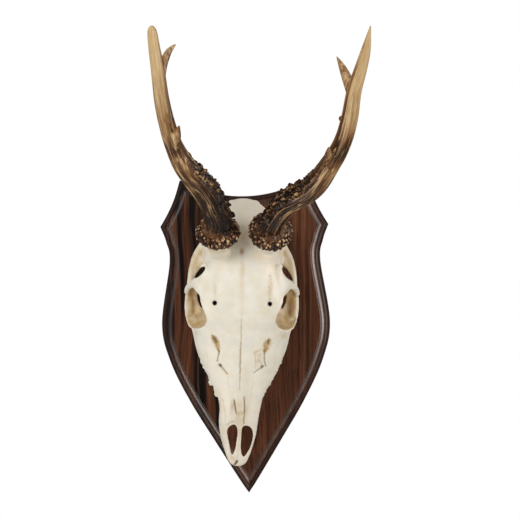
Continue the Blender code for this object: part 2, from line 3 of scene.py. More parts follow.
import bpy
import numpy as np
from mathutils import Euler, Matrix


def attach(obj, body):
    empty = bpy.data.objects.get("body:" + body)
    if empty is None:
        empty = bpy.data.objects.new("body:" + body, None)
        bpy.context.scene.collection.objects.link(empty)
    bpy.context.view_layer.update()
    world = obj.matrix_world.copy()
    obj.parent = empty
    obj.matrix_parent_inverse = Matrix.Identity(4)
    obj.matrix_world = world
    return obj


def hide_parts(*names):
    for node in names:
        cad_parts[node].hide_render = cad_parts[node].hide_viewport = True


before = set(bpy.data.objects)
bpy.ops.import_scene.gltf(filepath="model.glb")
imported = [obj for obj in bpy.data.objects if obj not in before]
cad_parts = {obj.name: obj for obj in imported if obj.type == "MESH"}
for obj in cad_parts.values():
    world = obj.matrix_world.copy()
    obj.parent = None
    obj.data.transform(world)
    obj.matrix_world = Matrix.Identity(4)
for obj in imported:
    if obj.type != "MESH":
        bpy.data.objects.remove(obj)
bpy.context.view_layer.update()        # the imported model, every node in its place
mm = 0.001
print("frame loaded:", sorted(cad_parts))


# Numbers and meshes
def smoothstep(low, high, values):
    # 3t² - 2t³ of the share t that a value has come from low to high
    t = np.clip((values - low) / (high - low), 0, 1)
    return t * t * (3 - 2 * t)


def bell(values, width):
    # e to the minus (value / width)²
    return np.exp(-(values / width) ** 2)


def unitLength(vectors):
    return vectors / np.maximum(np.linalg.norm(vectors, axis=-1, keepdims=True), 1e-12)


def fullTurn(count):
    # Even angles round a circle
    return 2 * math.pi * np.arange(count) / count


def lengthsAlong(line):
    # How far along the line each of its points lies
    return np.concatenate([[0], np.cumsum(np.linalg.norm(np.diff(line, axis=0), axis=1))])


def distanceTo(places, spot):
    return np.linalg.norm(places - spot, axis=1)


def caps(near, reach):
    # Round caps on pebbles: the root of 1 - (near / reach)², and 0 between them
    return np.sqrt(np.clip(1 - (near / reach) ** 2, 0, 1))


def smoothRows(rows, steps):
    # Catmull-Rom through the rows: half of 2b + (c-a)t + (2a-5b+4c-d)t² + (3b-a-3c+d)t³
    rows = np.asarray(rows, float)
    padded = np.vstack([2 * rows[0] - rows[1], rows, 2 * rows[-1] - rows[-2]])
    a, b, c, d = (padded[i:len(padded) - 3 + i, None] for i in range(4))
    t = (np.arange(steps) / steps)[None, :, None]
    curve = 0.5 * (2 * b + (c - a) * t + (2 * a - 5 * b + 4 * c - d) * t ** 2
                   + (3 * b - a - 3 * c + d) * t ** 3)
    return np.vstack([curve.reshape(-1, rows.shape[1]), rows[-1]])


def hashed(cells, seed):
    # Whole numbers in, a fixed pseudo-random share from 0 to 1 out
    with np.errstate(over="ignore"):
        mixed = (cells[..., 0].astype(np.uint32) * np.uint32(374761393)
                 + cells[..., 1].astype(np.uint32) * np.uint32(668265263)
                 + cells[..., 2].astype(np.uint32) * np.uint32(2246822519)
                 + np.uint32(seed * 144665 + 12345))
        mixed = (mixed ^ (mixed >> np.uint32(13))) * np.uint32(1274126177)
        mixed = (mixed ^ (mixed >> np.uint32(15))) * np.uint32(2654435761)
    return (mixed >> np.uint32(8)) / float(1 << 24)


def cloudNoise(places, size, seed, layers=1):
    # Value noise, -1 to 1: hashed corners of a lattice of that size, blended by 3t² - 2t³
    total = np.zeros(len(places))
    for layer in range(layers):
        spots = places / size * 2 ** layer
        base = np.floor(spots).astype(np.int64)
        t = spots - base
        t = t * t * (3 - 2 * t)
        for corner in range(8):
            step = np.array([corner & 1, corner >> 1 & 1, corner >> 2 & 1])
            weight = np.prod(np.where(step, t, 1 - t), axis=1)
            total += weight * (2 * hashed(base + step, seed + layer) - 1) / 2 ** layer
    return total


def pebbles(places, size, seed):
    # One jittered point in each cube of that size: the distance to the nearest, and its tone
    spots = places / size
    base = np.floor(spots).astype(np.int64)
    near = np.full(len(places), 9.0)
    tone = np.zeros(len(places))
    for number in range(27):
        cells = base + np.array([number % 3, number // 3 % 3, number // 9]) - 1
        jitter = np.stack([hashed(cells, seed + k) for k in range(3)], axis=1)
        away = np.linalg.norm(cells + 0.15 + 0.7 * jitter - spots, axis=1)
        closer = away < near
        tone = np.where(closer, hashed(cells, seed + 7), tone)
        near = np.where(closer, away, near)
    return near, tone


def bodyOf(rings, looped=False):
    # Quads between neighbouring rings; each end closes on its own middle, or the last ring meets the first
    rows, sides = rings.shape[:2]
    index = np.arange(rows * sides).reshape(rows, sides)
    if looped:
        index = np.vstack([index, index[:1]])
    turned = np.roll(index, -1, axis=1)
    quads = np.stack([index[:-1], turned[:-1], turned[1:], index[1:]], axis=-1).reshape(-1, 4).tolist()
    points = rings.reshape(-1, 3)
    if looped:
        return points, quads
    first = np.full(sides, len(points))
    fans = np.vstack([
        np.stack([turned[0], index[0], first], axis=-1),
        np.stack([index[-1], turned[-1], first + 1], axis=-1)])
    return np.vstack([points, rings[0].mean(0), rings[-1].mean(0)]), quads + fans.tolist()


def makeObject(name, bodies):
    # One mesh of several closed bodies, each a pair of points and faces
    points, faces, offset = [], [], 0
    for places, loops in bodies:
        points.append(places)
        faces += [[corner + offset for corner in loop] for loop in loops]
        offset += len(places)
    mesh = bpy.data.meshes.new(name)
    mesh.from_pydata(np.vstack(points).tolist(), [], faces)
    made = bpy.data.objects.new(name, mesh)
    bpy.context.scene.collection.objects.link(made)
    bpy.context.view_layer.objects.active = made
    bpy.ops.object.mode_set(mode="EDIT")
    bpy.ops.mesh.select_all(action="SELECT")
    bpy.ops.mesh.normals_make_consistent(inside=False)
    bpy.ops.object.mode_set(mode="OBJECT")
    return made


def settle(made):
    # The mesh that the modifiers give takes the place of the one they started from
    graph = bpy.context.evaluated_depsgraph_get()
    mesh = bpy.data.meshes.new_from_object(made.evaluated_get(graph))
    made.modifiers.clear()
    made.data = mesh


def melt(made, voxel, smoothing):
    # Overlapping forms become one skin of small squares, which is then eased
    remesh = made.modifiers.new("melt", "REMESH")
    remesh.mode = "VOXEL"
    remesh.voxel_size = voxel
    if smoothing:
        ease = made.modifiers.new("ease", "SMOOTH")
        ease.factor = 0.5
        ease.iterations = smoothing
    settle(made)


def cutAway(made, cutter):
    cut = made.modifiers.new("cut", "BOOLEAN")
    cut.operation = "DIFFERENCE"
    cut.solver = "MANIFOLD"
    cut.object = cutter
    settle(made)
    bpy.data.objects.remove(cutter, do_unlink=True)


def thinTo(made, triangles):
    # Flat stretches give up their triangles first
    made.data.calc_loop_triangles()
    ratio = triangles / len(made.data.loop_triangles)
    if ratio < 1:
        thin = made.modifiers.new("thin", "DECIMATE")
        thin.ratio = ratio
        settle(made)


def readPoints(made):
    # Places and outward directions of all vertices, as two arrays
    count = len(made.data.vertices)
    places, normals = np.empty(count * 3, np.float32), np.empty(count * 3, np.float32)
    made.data.vertices.foreach_get("co", places)
    made.data.vertices.foreach_get("normal", normals)
    return places.reshape(-1, 3).astype(float), normals.reshape(-1, 3).astype(float)


def writePoints(made, places):
    made.data.vertices.foreach_set("co", places.astype(np.float32).ravel())
    made.data.update()


def paint(made, name, values):
    # A number, or three of them, for each vertex, which the material reads by name
    kind, field = ("FLOAT", "value") if values.ndim == 1 else ("FLOAT_VECTOR", "vector")
    layer = made.data.attributes.new(name, kind, "POINT")
    layer.data.foreach_set(field, values.astype(np.float32).ravel())


def frames(path, start):
    # Along the path: its direction, and two directions square to it that turn only as the path turns
    tangent = unitLength(np.gradient(path, axis=0))
    tangent[0] = start if start is not None else tangent[0]
    helper = np.eye(3)[np.argmin(abs(tangent[0]))]
    side = [unitLength(np.cross(tangent[0], helper))]
    for way in tangent[1:]:
        side.append(unitLength(side[-1] - way * (side[-1] @ way)))
    side = np.array(side)
    return tangent, side, np.cross(tangent, side)


def carryRing(path, radii, sides, start=None):
    # A circle carried along a path: path + radius · (side · cos a + across · sin a)
    tangent, side, across = frames(path, start)
    angle = fullTurn(sides)
    around = side[:, None] * np.cos(angle)[None, :, None] + across[:, None] * np.sin(angle)[None, :, None]
    return path[:, None] + around * np.asarray(radii)[:, None, None]


# Camera, level with the middle of the shield and 1.6 m away, and turned by 1 degree as the photo was
view = {"distance": 1.6, "across": 11.67 * mm, "height": 58.6 * mm, "width": 405.6 * mm, "roll": 1.0}


def addCamera():
    lens = bpy.data.cameras.new("camera")
    lens.lens = lens.sensor_width * view["distance"] / view["width"]
    camera = bpy.data.objects.new("camera", lens)
    camera.location = (view["across"], -view["distance"], view["height"])
    camera.rotation_euler = (math.radians(90), 0, 0)
    camera.rotation_euler.rotate(Euler((0, math.radians(view["roll"]), 0)))
    bpy.context.scene.collection.objects.link(camera)
    bpy.context.scene.camera = camera


# Studio: big soft lamps in a white room that shines little in gloss, over a pale floor far below
studio = {
    "room": 0.58, "gloss": 0.10, "backdrop": 1.0,
    "lamps": (
        {"name": "key", "from": (-1.0, -1.8, 0.85), "size": 1.0, "watts": 16},
        {"name": "fill", "from": (1.4, -1.2, 0.3), "size": 1.0, "watts": 3},
        {"name": "low", "from": (-1.3, -0.8, -0.95), "size": 0.6, "watts": 1.2},
        {"name": "edge", "from": (1.6, -0.7, 0.1), "size": 0.6, "watts": 4},
        {"name": "right panel", "from": (1.5, -0.55, 0.12), "size": 1.4, "watts": 50, "glossOnly": True},
        {"name": "left panel", "from": (-1.11, -0.55, -1.0), "size": 1.1, "watts": 24, "glossOnly": True},
    ),
    "panelColour": (1.0, 0.84, 0.76), "aim": 50 * mm,
    "floor": {
        "height": -1300 * mm, "radius": 1.0, "thickness": 10 * mm,
        "colour": (0.85, 0.85, 0.84), "roughness": 0.7},
}


def addStudio():
    bpy.context.scene.view_settings.view_transform = "Standard"
    world = bpy.data.worlds.new("studio")
    world.use_nodes = True
    tree = world.node_tree
    tree.nodes.clear()
    path = tree.nodes.new("ShaderNodeLightPath")
    lit = None
    for name, ray in (("room", None), ("gloss", "Is Glossy Ray"), ("backdrop", "Is Camera Ray")):
        glow = tree.nodes.new("ShaderNodeBackground")
        glow.inputs["Strength"].default_value = studio[name]
        glow.inputs["Color"].default_value = (1, 1, 1, 1)
        if ray:
            blend = tree.nodes.new("ShaderNodeMixShader")
            tree.links.new(path.outputs[ray], blend.inputs["Fac"])
            tree.links.new(lit, blend.inputs[1])
            tree.links.new(glow.outputs[0], blend.inputs[2])
            lit = blend.outputs[0]
        else:
            lit = glow.outputs[0]
    out = tree.nodes.new("ShaderNodeOutputWorld")
    tree.links.new(lit, out.inputs["Surface"])
    bpy.context.scene.world = world
    for lamp in studio["lamps"]:
        light = bpy.data.lights.new(lamp["name"], "AREA")
        light.shape = "DISK"
        light.size = lamp["size"]
        light.energy = lamp["watts"]
        made = bpy.data.objects.new(lamp["name"], light)
        made.location = lamp["from"]
        aim = -made.location
        aim.z += studio["aim"]
        made.rotation_euler = aim.to_track_quat("-Z", "Y").to_euler()
        if lamp.get("glossOnly"):
            made.visible_diffuse = False
            light.color = studio["panelColour"]
        bpy.context.scene.collection.objects.link(made)
    # The floor is a disc: radius and angle are its two parameters
    floorLook = studio["floor"]
    radius = np.linspace(0.02, 1, 12)[:, None] * floorLook["radius"]
    angle = fullTurn(64)[None, :]
    rings = np.stack([radius * np.cos(angle), radius * np.sin(angle),
                      np.full((12, 64), floorLook["height"])], axis=-1)
    below = rings[::-1] - np.array([0, 0, floorLook["thickness"]])
    floor = makeObject("floor", [bodyOf(np.vstack([rings, below]))])
    floor.data.materials.append(plainMaterial("pale_floor", floorLook["colour"], floorLook["roughness"]))


# Materials
def plainMaterial(name, colour, roughness):
    material = bpy.data.materials.new(name)
    material.use_nodes = True
    shader = material.node_tree.nodes["Principled BSDF"]
    shader.inputs["Base Color"].default_value = (*colour, 1)
    shader.inputs["Roughness"].default_value = roughness
    return material


def plug(socket, value):
    # A link from another node's output, or a number or colour of its own
    if isinstance(value, bpy.types.NodeSocket):
        socket.id_data.links.new(value, socket)
    elif isinstance(value, tuple) and len(value) == 3 and len(socket.default_value) == 4:
        socket.default_value = (*value, 1)
    else:
        socket.default_value = value


def addNode(kind, inputs, output, **settings):
    # One node in the tree that its inputs come from; gives the output asked for
    tree = next(value.id_data for value in inputs.values() if isinstance(value, bpy.types.NodeSocket))
    node = tree.nodes.new("ShaderNode" + kind)
    for name, setting in settings.items():
        setattr(node, name, setting)
    for name, value in inputs.items():
        plug(node.inputs[name], value)
    return node.outputs[output]


def noiseOf(vector, scale, detail=2.0, rough=0.5):
    return addNode("TexNoise", {
        "Vector": vector, "Scale": scale, "Detail": detail, "Roughness": rough}, "Fac")


def stretched(vector, scale, shift=(0, 0, 0)):
    return addNode("Mapping", {"Vector": vector, "Scale": scale, "Location": shift}, "Vector")


def rangeOf(value, low, high, toLow=0.0, toHigh=1.0):
    return addNode("MapRange", {
        "Value": value, "From Min": low, "From Max": high, "To Min": toLow, "To Max": toHigh}, "Result")


def mathOf(kind, first, second=0.0):
    return addNode("Math", {0: first, 1: second}, 0, operation=kind)


def plus(first, second):
    return mathOf("ADD", first, second)


def minus(first, second):
    return mathOf("SUBTRACT", first, second)


def times(first, second):
    return mathOf("MULTIPLY", first, second)


def mixOf(factor, first, second, kind="MIX"):
    return addNode("Mix", {0: factor, 6: first, 7: second}, 2, data_type="RGBA", blend_type=kind)


def rampOf(factor, stops):
    # Stops are a place from 0 to 1 and a colour each
    node = factor.id_data.nodes.new("ShaderNodeValToRGB")
    plug(node.inputs["Fac"], factor)
    ramp = node.color_ramp
    while len(ramp.elements) < len(stops):
        ramp.elements.new(0.5)
    for element, (place, colour) in zip(ramp.elements, stops):
        element.position = place
        element.color = (*colour, 1)
    return node.outputs["Color"]


def bumpOf(height, distance, strength, under=None):
    inputs = {"Height": height, "Distance": distance, "Strength": strength}
    return addNode("Bump", inputs if under is None else {**inputs, "Normal": under}, "Normal")


def painted(shader, name, output="Fac"):
    # What paint() has left on the mesh under that name
    node = shader.id_data.nodes.new("ShaderNodeAttribute")
    node.attribute_name = name
    return node.outputs[output]


def newMaterial(name):
    material = bpy.data.materials.new(name)
    material.use_nodes = True
    nodes = material.node_tree.nodes
    return material, nodes["Principled BSDF"], nodes.new("ShaderNodeTexCoord").outputs["Object"]


def dress(shader, values):
    for name, value in values.items():
        plug(shader.inputs[name], value)


# Shield: the same driving sizes as its solid, in millimetres
shield = {
    "height": 243.2, "thickness": 18.0, "corner": 49.5, "topDip": 13.3,
    "shoulder": (65.2, 36.0), "shoulderHollow": 1.7,
    "side": ((60.8, 48.0), (58.5, 64.0), (65.15, 111.0)),   # neck, waist and belly: half width, drop
    "flank": ((0.908, 0.222), (0.683, 0.456), (0.399, 0.689), (0.104, 0.924)),
    "step": 1.2, "ovoloWidth": 3.7, "ovoloHeight": 4.0, "cove": 3.0, "ledge": 1.0,
    "arris": 0.24, "backChamfer": 0.5,
    "keyhole": {"entry": 10.6, "neck": 5.6, "travel": 14.0, "depth": 9.0, "lip": 3.0, "height": 70.0},
    "stations": (60, 40, 210),   # along half the top edge, a shoulder and a side
}


def shieldStretches():
    # Right half: a hollow arc, a straight shoulder hollowed by a half sine, and a smooth side
    top = shield["height"] / 2
    corner, dip = shield["corner"], shield["topDip"]
    radius = (corner ** 2 + dip ** 2) / (2 * dip)
    angle = np.linspace(0, math.asin(corner / radius), 80)
    edge = np.stack([radius * np.sin(angle), top - dip + radius * (1 - np.cos(angle))], axis=1)
    start = np.array([corner, top])
    end = np.array([shield["shoulder"][0], top - shield["shoulder"][1]])
    share = np.linspace(0, 1, 50)[:, None]
    inward = unitLength(np.array([end[1] - start[1], start[0] - end[0]]))
    shoulder = start + (end - start) * share + inward * shield["shoulderHollow"] * np.sin(math.pi * share)
    belly, drop = shield["side"][-1]
    points = [end] + [(half, top - down) for half, down in shield["side"]]
    points += [(belly * wide, top - drop - (shield["height"] - drop) * low) for wide, low in shield["flank"]]
    return edge, shoulder, smoothRows(points + [(0, -top)], 40)


def drawnIn(line, inset):
    # Each point moves square to the line, and both ends run on past the corners
    along = unitLength(np.gradient(line, axis=0))
    moved = line + np.stack([along[:, 1], -along[:, 0]], axis=1) * inset
    runOn = 3 * inset + 2
    return np.vstack([moved[0] - along[0] * runOn, moved, moved[-1] + along[-1] * runOn])


def meeting(one, other, pick=0):
    # Every step a + r·t of one line against every step c + s·u of the other; gives places along both
    a, r = one[:-1, None], np.diff(one, axis=0)[:, None]
    c, s = other[None, :-1], np.diff(other, axis=0)[None]
    gap = c - a
    turn = r[..., 0] * s[..., 1] - r[..., 1] * s[..., 0]
    turn = np.where(abs(turn) < 1e-12, np.nan, turn)
    t = (gap[..., 0] * s[..., 1] - gap[..., 1] * s[..., 0]) / turn
    u = (gap[..., 0] * r[..., 1] - gap[..., 1] * r[..., 0]) / turn
    i, j = np.argwhere((t >= 0) & (t <= 1) & (u >= 0) & (u <= 1))[pick]
    return i + t[i, j], j + u[i, j]


def evenly(line, start, end, count):
    # Even steps along the stretch between two places on a line, the last left for the next stretch
    lengths = lengthsAlong(line)
    order = np.arange(len(line))
    low, high = np.interp([start, end], order, lengths)
    wanted = low + (high - low) * np.arange(count) / count
    return np.stack([np.interp(wanted, lengths, line[:, k]) for k in (0, 1)], axis=1)


def shieldRing(inset, height):
    # The outline drawn in by the inset, mitred at its corners, at a height above the back
    middle = np.array([[0, -500.0], [0, 500.0]])
    edge, shoulder, side = (drawnIn(line, inset) for line in shieldStretches())
    start, _ = meeting(edge, middle)
    cornerA, cornerB = meeting(edge, shoulder)
    turnA, turnB = meeting(shoulder, side)
    tip, _ = meeting(side, middle, -1)
    counts = shield["stations"]
    half = np.vstack([
        evenly(edge, start, cornerA, counts[0]), evenly(shoulder, cornerB, turnA, counts[1]),
        evenly(side, turnB, tip, counts[2])])
    tipPlace = [0, np.interp(tip, np.arange(len(side)), side[:, 1])]
    left = half[:0:-1] * (-1, 1)
    outline = np.vstack([half, [tipPlace], left])
    return np.stack([outline[:, 0], np.full(len(outline), -height), outline[:, 1]], axis=1) * mm


def mouldingProfile():
    # Inset and height: back chamfer, edge, ledge, quarter hollow, quarter round, step, field; eased by a bell
    field, ledge, cove = shield["thickness"], shield["ledge"], shield["cove"]
    base = field - shield["step"] - shield["ovoloHeight"]
    inner = ledge + cove + shield["ovoloWidth"]
    angle = np.linspace(0, math.pi / 2, 24)
    chamfer = shield["backChamfer"]
    points = np.vstack([
        [(3, 0), (chamfer, 0), (0, chamfer), (0, base - cove - ledge / 3), (ledge / 3, base - cove)],
        np.stack([ledge + cove * np.sin(angle), base - cove * np.cos(angle)], axis=1),
        np.stack([inner - shield["ovoloWidth"] * np.cos(angle),
                  base + shield["ovoloHeight"] * np.sin(angle)], axis=1),
        [(inner, field), (inner + 3, field)]])
    lengths = lengthsAlong(points)
    fine = 0.05
    steps = np.arange(0, lengths[-1], fine)
    dense = np.stack([np.interp(steps, lengths, points[:, k]) for k in (0, 1)], axis=1)
    reach = int(3 * shield["arris"] / fine)
    weights = bell(np.arange(-reach, reach + 1) * fine, shield["arris"] * math.sqrt(2))
    weights /= weights.sum()
    eased = np.stack([
        np.convolve(np.pad(dense[:, k], reach, mode="reflect", reflect_type="odd"), weights, "valid")
        for k in (0, 1)], axis=1)
    bend = np.linalg.norm(np.gradient(unitLength(np.gradient(eased, axis=0)), axis=0), axis=1)
    spread = np.cumsum(0.006 + bend)   # more rings where the profile bends
    return eased[np.searchsorted(spread, np.linspace(spread[0], spread[-1], 64)).clip(0, len(eased) - 1)]


def slotBody(width, low, high, near, far):
    # A slot with round ends: a half circle about its top, one about its bottom, carried from near to far
    angle = np.linspace(0, math.pi, 40)
    ring = np.vstack([
        np.stack([np.cos(angle), np.sin(angle)], axis=1) * width / 2 + (0, high),
        np.stack([-np.cos(angle), -np.sin(angle)], axis=1) * width / 2 + (0, low)])
    rings = [np.stack([ring[:, 0], np.full(len(ring), y), ring[:, 1]], axis=1) for y in (near, far)]
    return bodyOf(np.array(rings) * mm)


def makeShield():
    rings = np.array([shieldRing(inset, height) for inset, height in mouldingProfile()])
    made = makeObject("shield_board", [bodyOf(rings)])
    hole = shield["keyhole"]
    low, high = hole["height"], hole["height"] + hole["travel"]
    for width, top, near in ((hole["entry"], low, 1.0), (hole["neck"], high, 1.0),
                             (hole["entry"], high, -hole["lip"])):
        cutAway(made, makeObject("slot", [slotBody(width, low, top, near, -hole["depth"])]))
    made.data.shade_smooth()
    made.data.set_sharp_from_angle(angle=math.radians(24))
    return made


# Noise scales are per metre across, out and up. Streaks is a range of x, and the other ranges are of y
woodLook = {
    "black": (0.0065, 0.0028, 0.0016), "brown": (0.062, 0.0200, 0.0082), "red": (0.145, 0.047, 0.0185),
    "light": (0.170, 0.075, 0.040), "edge": (0.022, 0.0125, 0.0095), "roughness": (0.38, 0.46),
    "wander": (7, 7, 9), "sway": 8 * mm, "broad": (175, 100, 6.5), "lines": (430, 220, 7),
    "pores": (2400, 1200, 60), "streaks": (-45 * mm, 10 * mm), "field": (-17.9 * mm, -17.2 * mm),
    "groove": (-16.6 * mm, -15.6 * mm), "hollow": (-13.7 * mm, -12.4 * mm), "front": (-3 * mm, -8 * mm),
    "grainDepth": 0.05 * mm, "poreDepth": 0.03 * mm,
}


def woodMaterial():
    # Upright grain: noise on places squeezed along the height, so that spots become streaks
    material, shader, place = newMaterial("dark_stained_oak")
    wander = noiseOf(stretched(place, woodLook["wander"]), 1.0, 2)
    shift = addNode("CombineXYZ", {"X": rangeOf(wander, 0, 1, -woodLook["sway"], woodLook["sway"])}, 0)
    grain = addNode("VectorMath", {0: place, 1: shift}, 0)
    side, height = (addNode("SeparateXYZ", {0: place}, axis) for axis in "XY")
    broad = noiseOf(stretched(grain, woodLook["broad"], (3.1, 0, 0.7)), 1.0, 2, 0.5)
    lines = noiseOf(stretched(grain, woodLook["lines"]), 1.0, 3, 0.55)
    pores = noiseOf(stretched(grain, woodLook["pores"]), 1.0, 2, 0.6)
    # The heartwood's black streaks lie on the left, and the right is straight and even
    streaky = rangeOf(side, *woodLook["streaks"], -0.045, 0.16)
    colour = rampOf(plus(broad, streaky), [(place, woodLook[name]) for place, name in (
        (0.41, "black"), (0.48, "brown"), (0.57, "red"), (0.88, "brown"))])
    colour = mixOf(1.0, colour, rangeOf(lines, 0.36, 0.64, 0.60, 1.22), "MULTIPLY")
    colour = mixOf(rangeOf(lines, 0.56, 0.68, 0.0, 0.55), colour, woodLook["light"])
    pore = rangeOf(pores, 0.36, 0.44, 1.0, 0.0)
    colour = mixOf(times(pore, 0.7), colour, woodLook["black"])
    # The groove round the field and the outer hollow are darkened: partly stain pooled there, partly painted
    # shade in these recesses
    groove = times(rangeOf(height, *woodLook["field"], 0.0, 0.7),
                   rangeOf(height, *woodLook["groove"], 1.0, 0.0))
    dark = plus(groove, rangeOf(height, *woodLook["hollow"], 0.0, 0.75))
    colour = mixOf(times(dark, rangeOf(height, *woodLook["front"])), colour, woodLook["edge"])
    # The flat field shows its grain and little shine, and the rounded edge is smooth and polished
    field = rangeOf(height, *woodLook["field"], 1.0, 0.0)
    under = bumpOf(times(lines, field), woodLook["grainDepth"], 0.5)
    dress(shader, {
        "Base Color": colour, "Roughness": rangeOf(lines, 0.3, 0.7, *woodLook["roughness"]),
        "Normal": bumpOf(minus(1.0, times(pore, field)), woodLook["poreDepth"], 0.5, under),
        "Specular IOR Level": minus(rangeOf(height, *woodLook["hollow"], 0.58, 0.12), times(field, 0.44))})
    return material


# Skull: across, down from the crown and out from the shield, in two hundredths of its length
skull = {
    "length": 203 * mm, "crown": 105.5 * mm, "tilt": math.radians(1.9), "gap": 0.3 * mm, "sway": 1.4,
    "voxel": 0.62 * mm, "hollowVoxel": 0.9 * mm, "triangles": 192000, "blendReach": 27 * mm, "blendSteps": 40,
}
skullUnit = skull["length"] / 200
headPlace = np.array([0, -shield["thickness"] * mm - skull["gap"], skull["crown"]])
tiltCos, tiltSin = math.cos(skull["tilt"]), math.sin(skull["tilt"])


def muzzleSway(down):
    return skull["sway"] * smoothstep(150, 172, down)


def tilted(shifts):
    # Shifts in the head's own directions, turned by its tilt
    x, y, z = np.moveaxis(shifts, -1, 0)
    return np.stack([x * tiltCos + z * tiltSin, y, z * tiltCos - x * tiltSin], axis=-1)


def skullPlace(across, down, out):
    # Units to metres, turned by the head's tilt and moved to its place on the shield
    across, down, out = np.broadcast_arrays(across, down, out)
    x = (across - muzzleSway(down)) * skullUnit
    return tilted(np.stack([x, -out * skullUnit, -down * skullUnit], axis=-1)) + headPlace


def skullUnits(places):
    # The way back, from metres to across, down and out
    x, y, z = ((places - headPlace) / skullUnit).T
    down = -(z * tiltCos + x * tiltSin)
    return x * tiltCos - z * tiltSin + muzzleSway(down), down, -y


# Cross sections: down, half width, height of the widest place, top, base, roundness above and below
skullSections = (
    (0.3, 3, 36, 40, 30, 2.0, 2.0), (1.5, 7.5, 36, 45, 25, 2.0, 2.0), (4.5, 13, 36, 49.5, 20, 2.0, 2.0),
    (10, 19, 35, 55, 15, 2.0, 2.2), (18, 25, 35, 60.5, 13, 2.0, 2.2), (28, 28.5, 36, 65.5, 12, 2.1, 2.2),
    (38, 29.5, 38, 70.5, 13, 2.3, 2.2), (48, 29.5, 42, 74.5, 16, 2.6, 2.0), (58, 29, 52, 75.5, 18, 2.8, 1.8),
    (68, 29, 62, 75, 18, 2.8, 1.7), (78, 30, 62, 72.5, 18, 2.7, 1.7), (90, 32.5, 54, 67.5, 16, 2.3, 1.9),
    (99, 35, 42, 62, 15, 2.2, 2.2), (108, 33.4, 36, 57, 14, 2.1, 2.3), (120, 30.4, 31, 50.5, 13.5, 2.0, 2.4),
    (130, 26, 28, 45, 13, 2.0, 2.4), (140, 20.5, 26, 40.5, 12.5, 2.1, 2.4), (148, 17, 25, 37.2, 12, 2.2, 2.4),
    (156, 15.3, 23.5, 34, 12, 2.4, 2.4), (166, 14.7, 20.5, 29.5, 11.5, 2.5, 2.4),
    (176, 13.7, 17, 24.5, 11, 2.5, 2.4), (187, 10.9, 14.5, 20, 10.5, 2.4, 2.4),
    (194.5, 8.3, 13, 17, 10, 2.4, 2.4), (199, 5.9, 12.5, 15.5, 9.8, 2.3, 2.3),
    (201.2, 2.6, 12.2, 13.8, 10.5, 2.0, 2.0),
)
sockets = {
    "centre": (35.6, 79.5, 49.5), "along": 17.4, "across": 17.2, "lean": math.radians(19.5),
    "depth": 14.5, "wall": 1.3, "shift": 0.8, "rim": 0.65, "rimSwell": 0.45, "open": 7.5,
}
# Bones on each side as tubes of places and radii
boneTubes = {
    "cheek arch": (
        (38.5, 88, 33, 3.4), (39.2, 76, 32.5, 3.0), (38.4, 64, 33.5, 2.7), (37.2, 53, 34, 2.7),
        (34.4, 44, 33, 3.1), (29.4, 37.6, 31, 4.5), (24.6, 30.5, 30.5, 4.6), (20.5, 25.0, 30, 3.4)),
    "temple shelf": ((24, 39, 31, 5.5), (30.5, 47, 32, 4.6), (34.5, 53, 32.5, 4.2), (37.4, 59, 33, 3.4)),
    "cheek bone": ((36, 88, 33, 4.5), (32, 98, 32, 4.8), (28.4, 112, 28.5, 5), (22.6, 126, 24.5, 5.2)),
    "neck process": ((18.5, 14, 23, 5.5), (19.2, 12.6, 11, 3.4), (17.8, 14.5, 3.0, 1.4)),
}
# Behind each socket a web runs out from the brow: across, down, out, half length, half thickness
socketWeb = (
    (21, 61, 66, 15, 3.4), (27, 63.7, 65.4, 12, 3.2), (31, 63.9, 62, 7.6, 2.8), (34.8, 63.6, 56, 3.8, 2.4),
    (38, 65.3, 48.5, 2.5, 2.1), (40.2, 67.6, 41, 2.3, 2.1), (40.6, 70.5, 35, 2.6, 2.4),
)
# Rounded masses and hollows: the middle, then the radii across, outwards and along
boneMasses = {
    "arch shelf": ((30.0, 45, 32), (7.4, 3.2, 8.2)), "ear bulb": ((14, 27, 10), (6.5, 8.5, 8.5)),
    "neck joint": ((8, 6.5, 15), (5.5, 8, 6)), "joint root": ((9.6, 10.5, 20), (4.2, 7.5, 6.5)),
    "bulb root": ((14.5, 27.5, 16.5), (7.0, 9.0, 7.5)), "wing bone": ((8.5, 75, 16), (2.2, 8.5, 15.5)),
}
templeHollow = ((43, 50, 50), (15.5, 13, 21))
middleHollows = (((0, 78, 12), (7.4, 11, 13)), ((0, 2, 19), (5.2, 7.5, 7)))
nosePassage = ((112, 3, 3, 27), (120, 9, 8, 26), (136, 11.5, 8, 25), (152, 11, 6.5, 23),
               (170, 10.4, 4.6, 19), (180, 9, 3, 16), (186, 6, 1.6, 14.5))
# Cheek teeth: down, across, half length, half width; then rings from the crown to the root
teeth = ((95, 21.6, 5.6, 5.4), (106, 22.0, 5.8, 5.6), (117, 21.6, 5.6, 5.4),
         (127.5, 20.9, 4.9, 4.9), (137, 19.9, 4.6, 4.6), (145.6, 16.8, 4.4, 3.6))
toothRings = ((0.4, 0.80), (1.5, 0.92), (7.0, 1.0), (16.0, 0.85))
# Openings in the top: across, down, half width, half length, lean, outer depth, inner depth
openings = {
    "brow hole left": (-19.3, 77.5, 1.30, 1.40, 0.0, 80, 60),
    "brow hole right": (20.7, 77.6, 1.25, 1.35, 0.0, 80, 60),
    "temple gap left": (-30.6, 55.4, 1.5, 4.8, 0.74, 80, 0),
    "temple gap right": (33.0, 55.6, 1.6, 5.2, -0.66, 80, 0),
    "nerve gap left": (-30.8, 76.2, 1.35, 4.8, -0.22, 61, 26),
    "nerve gap right": (30.8, 76.2, 1.35, 4.8, 0.22, 61, 26),
}
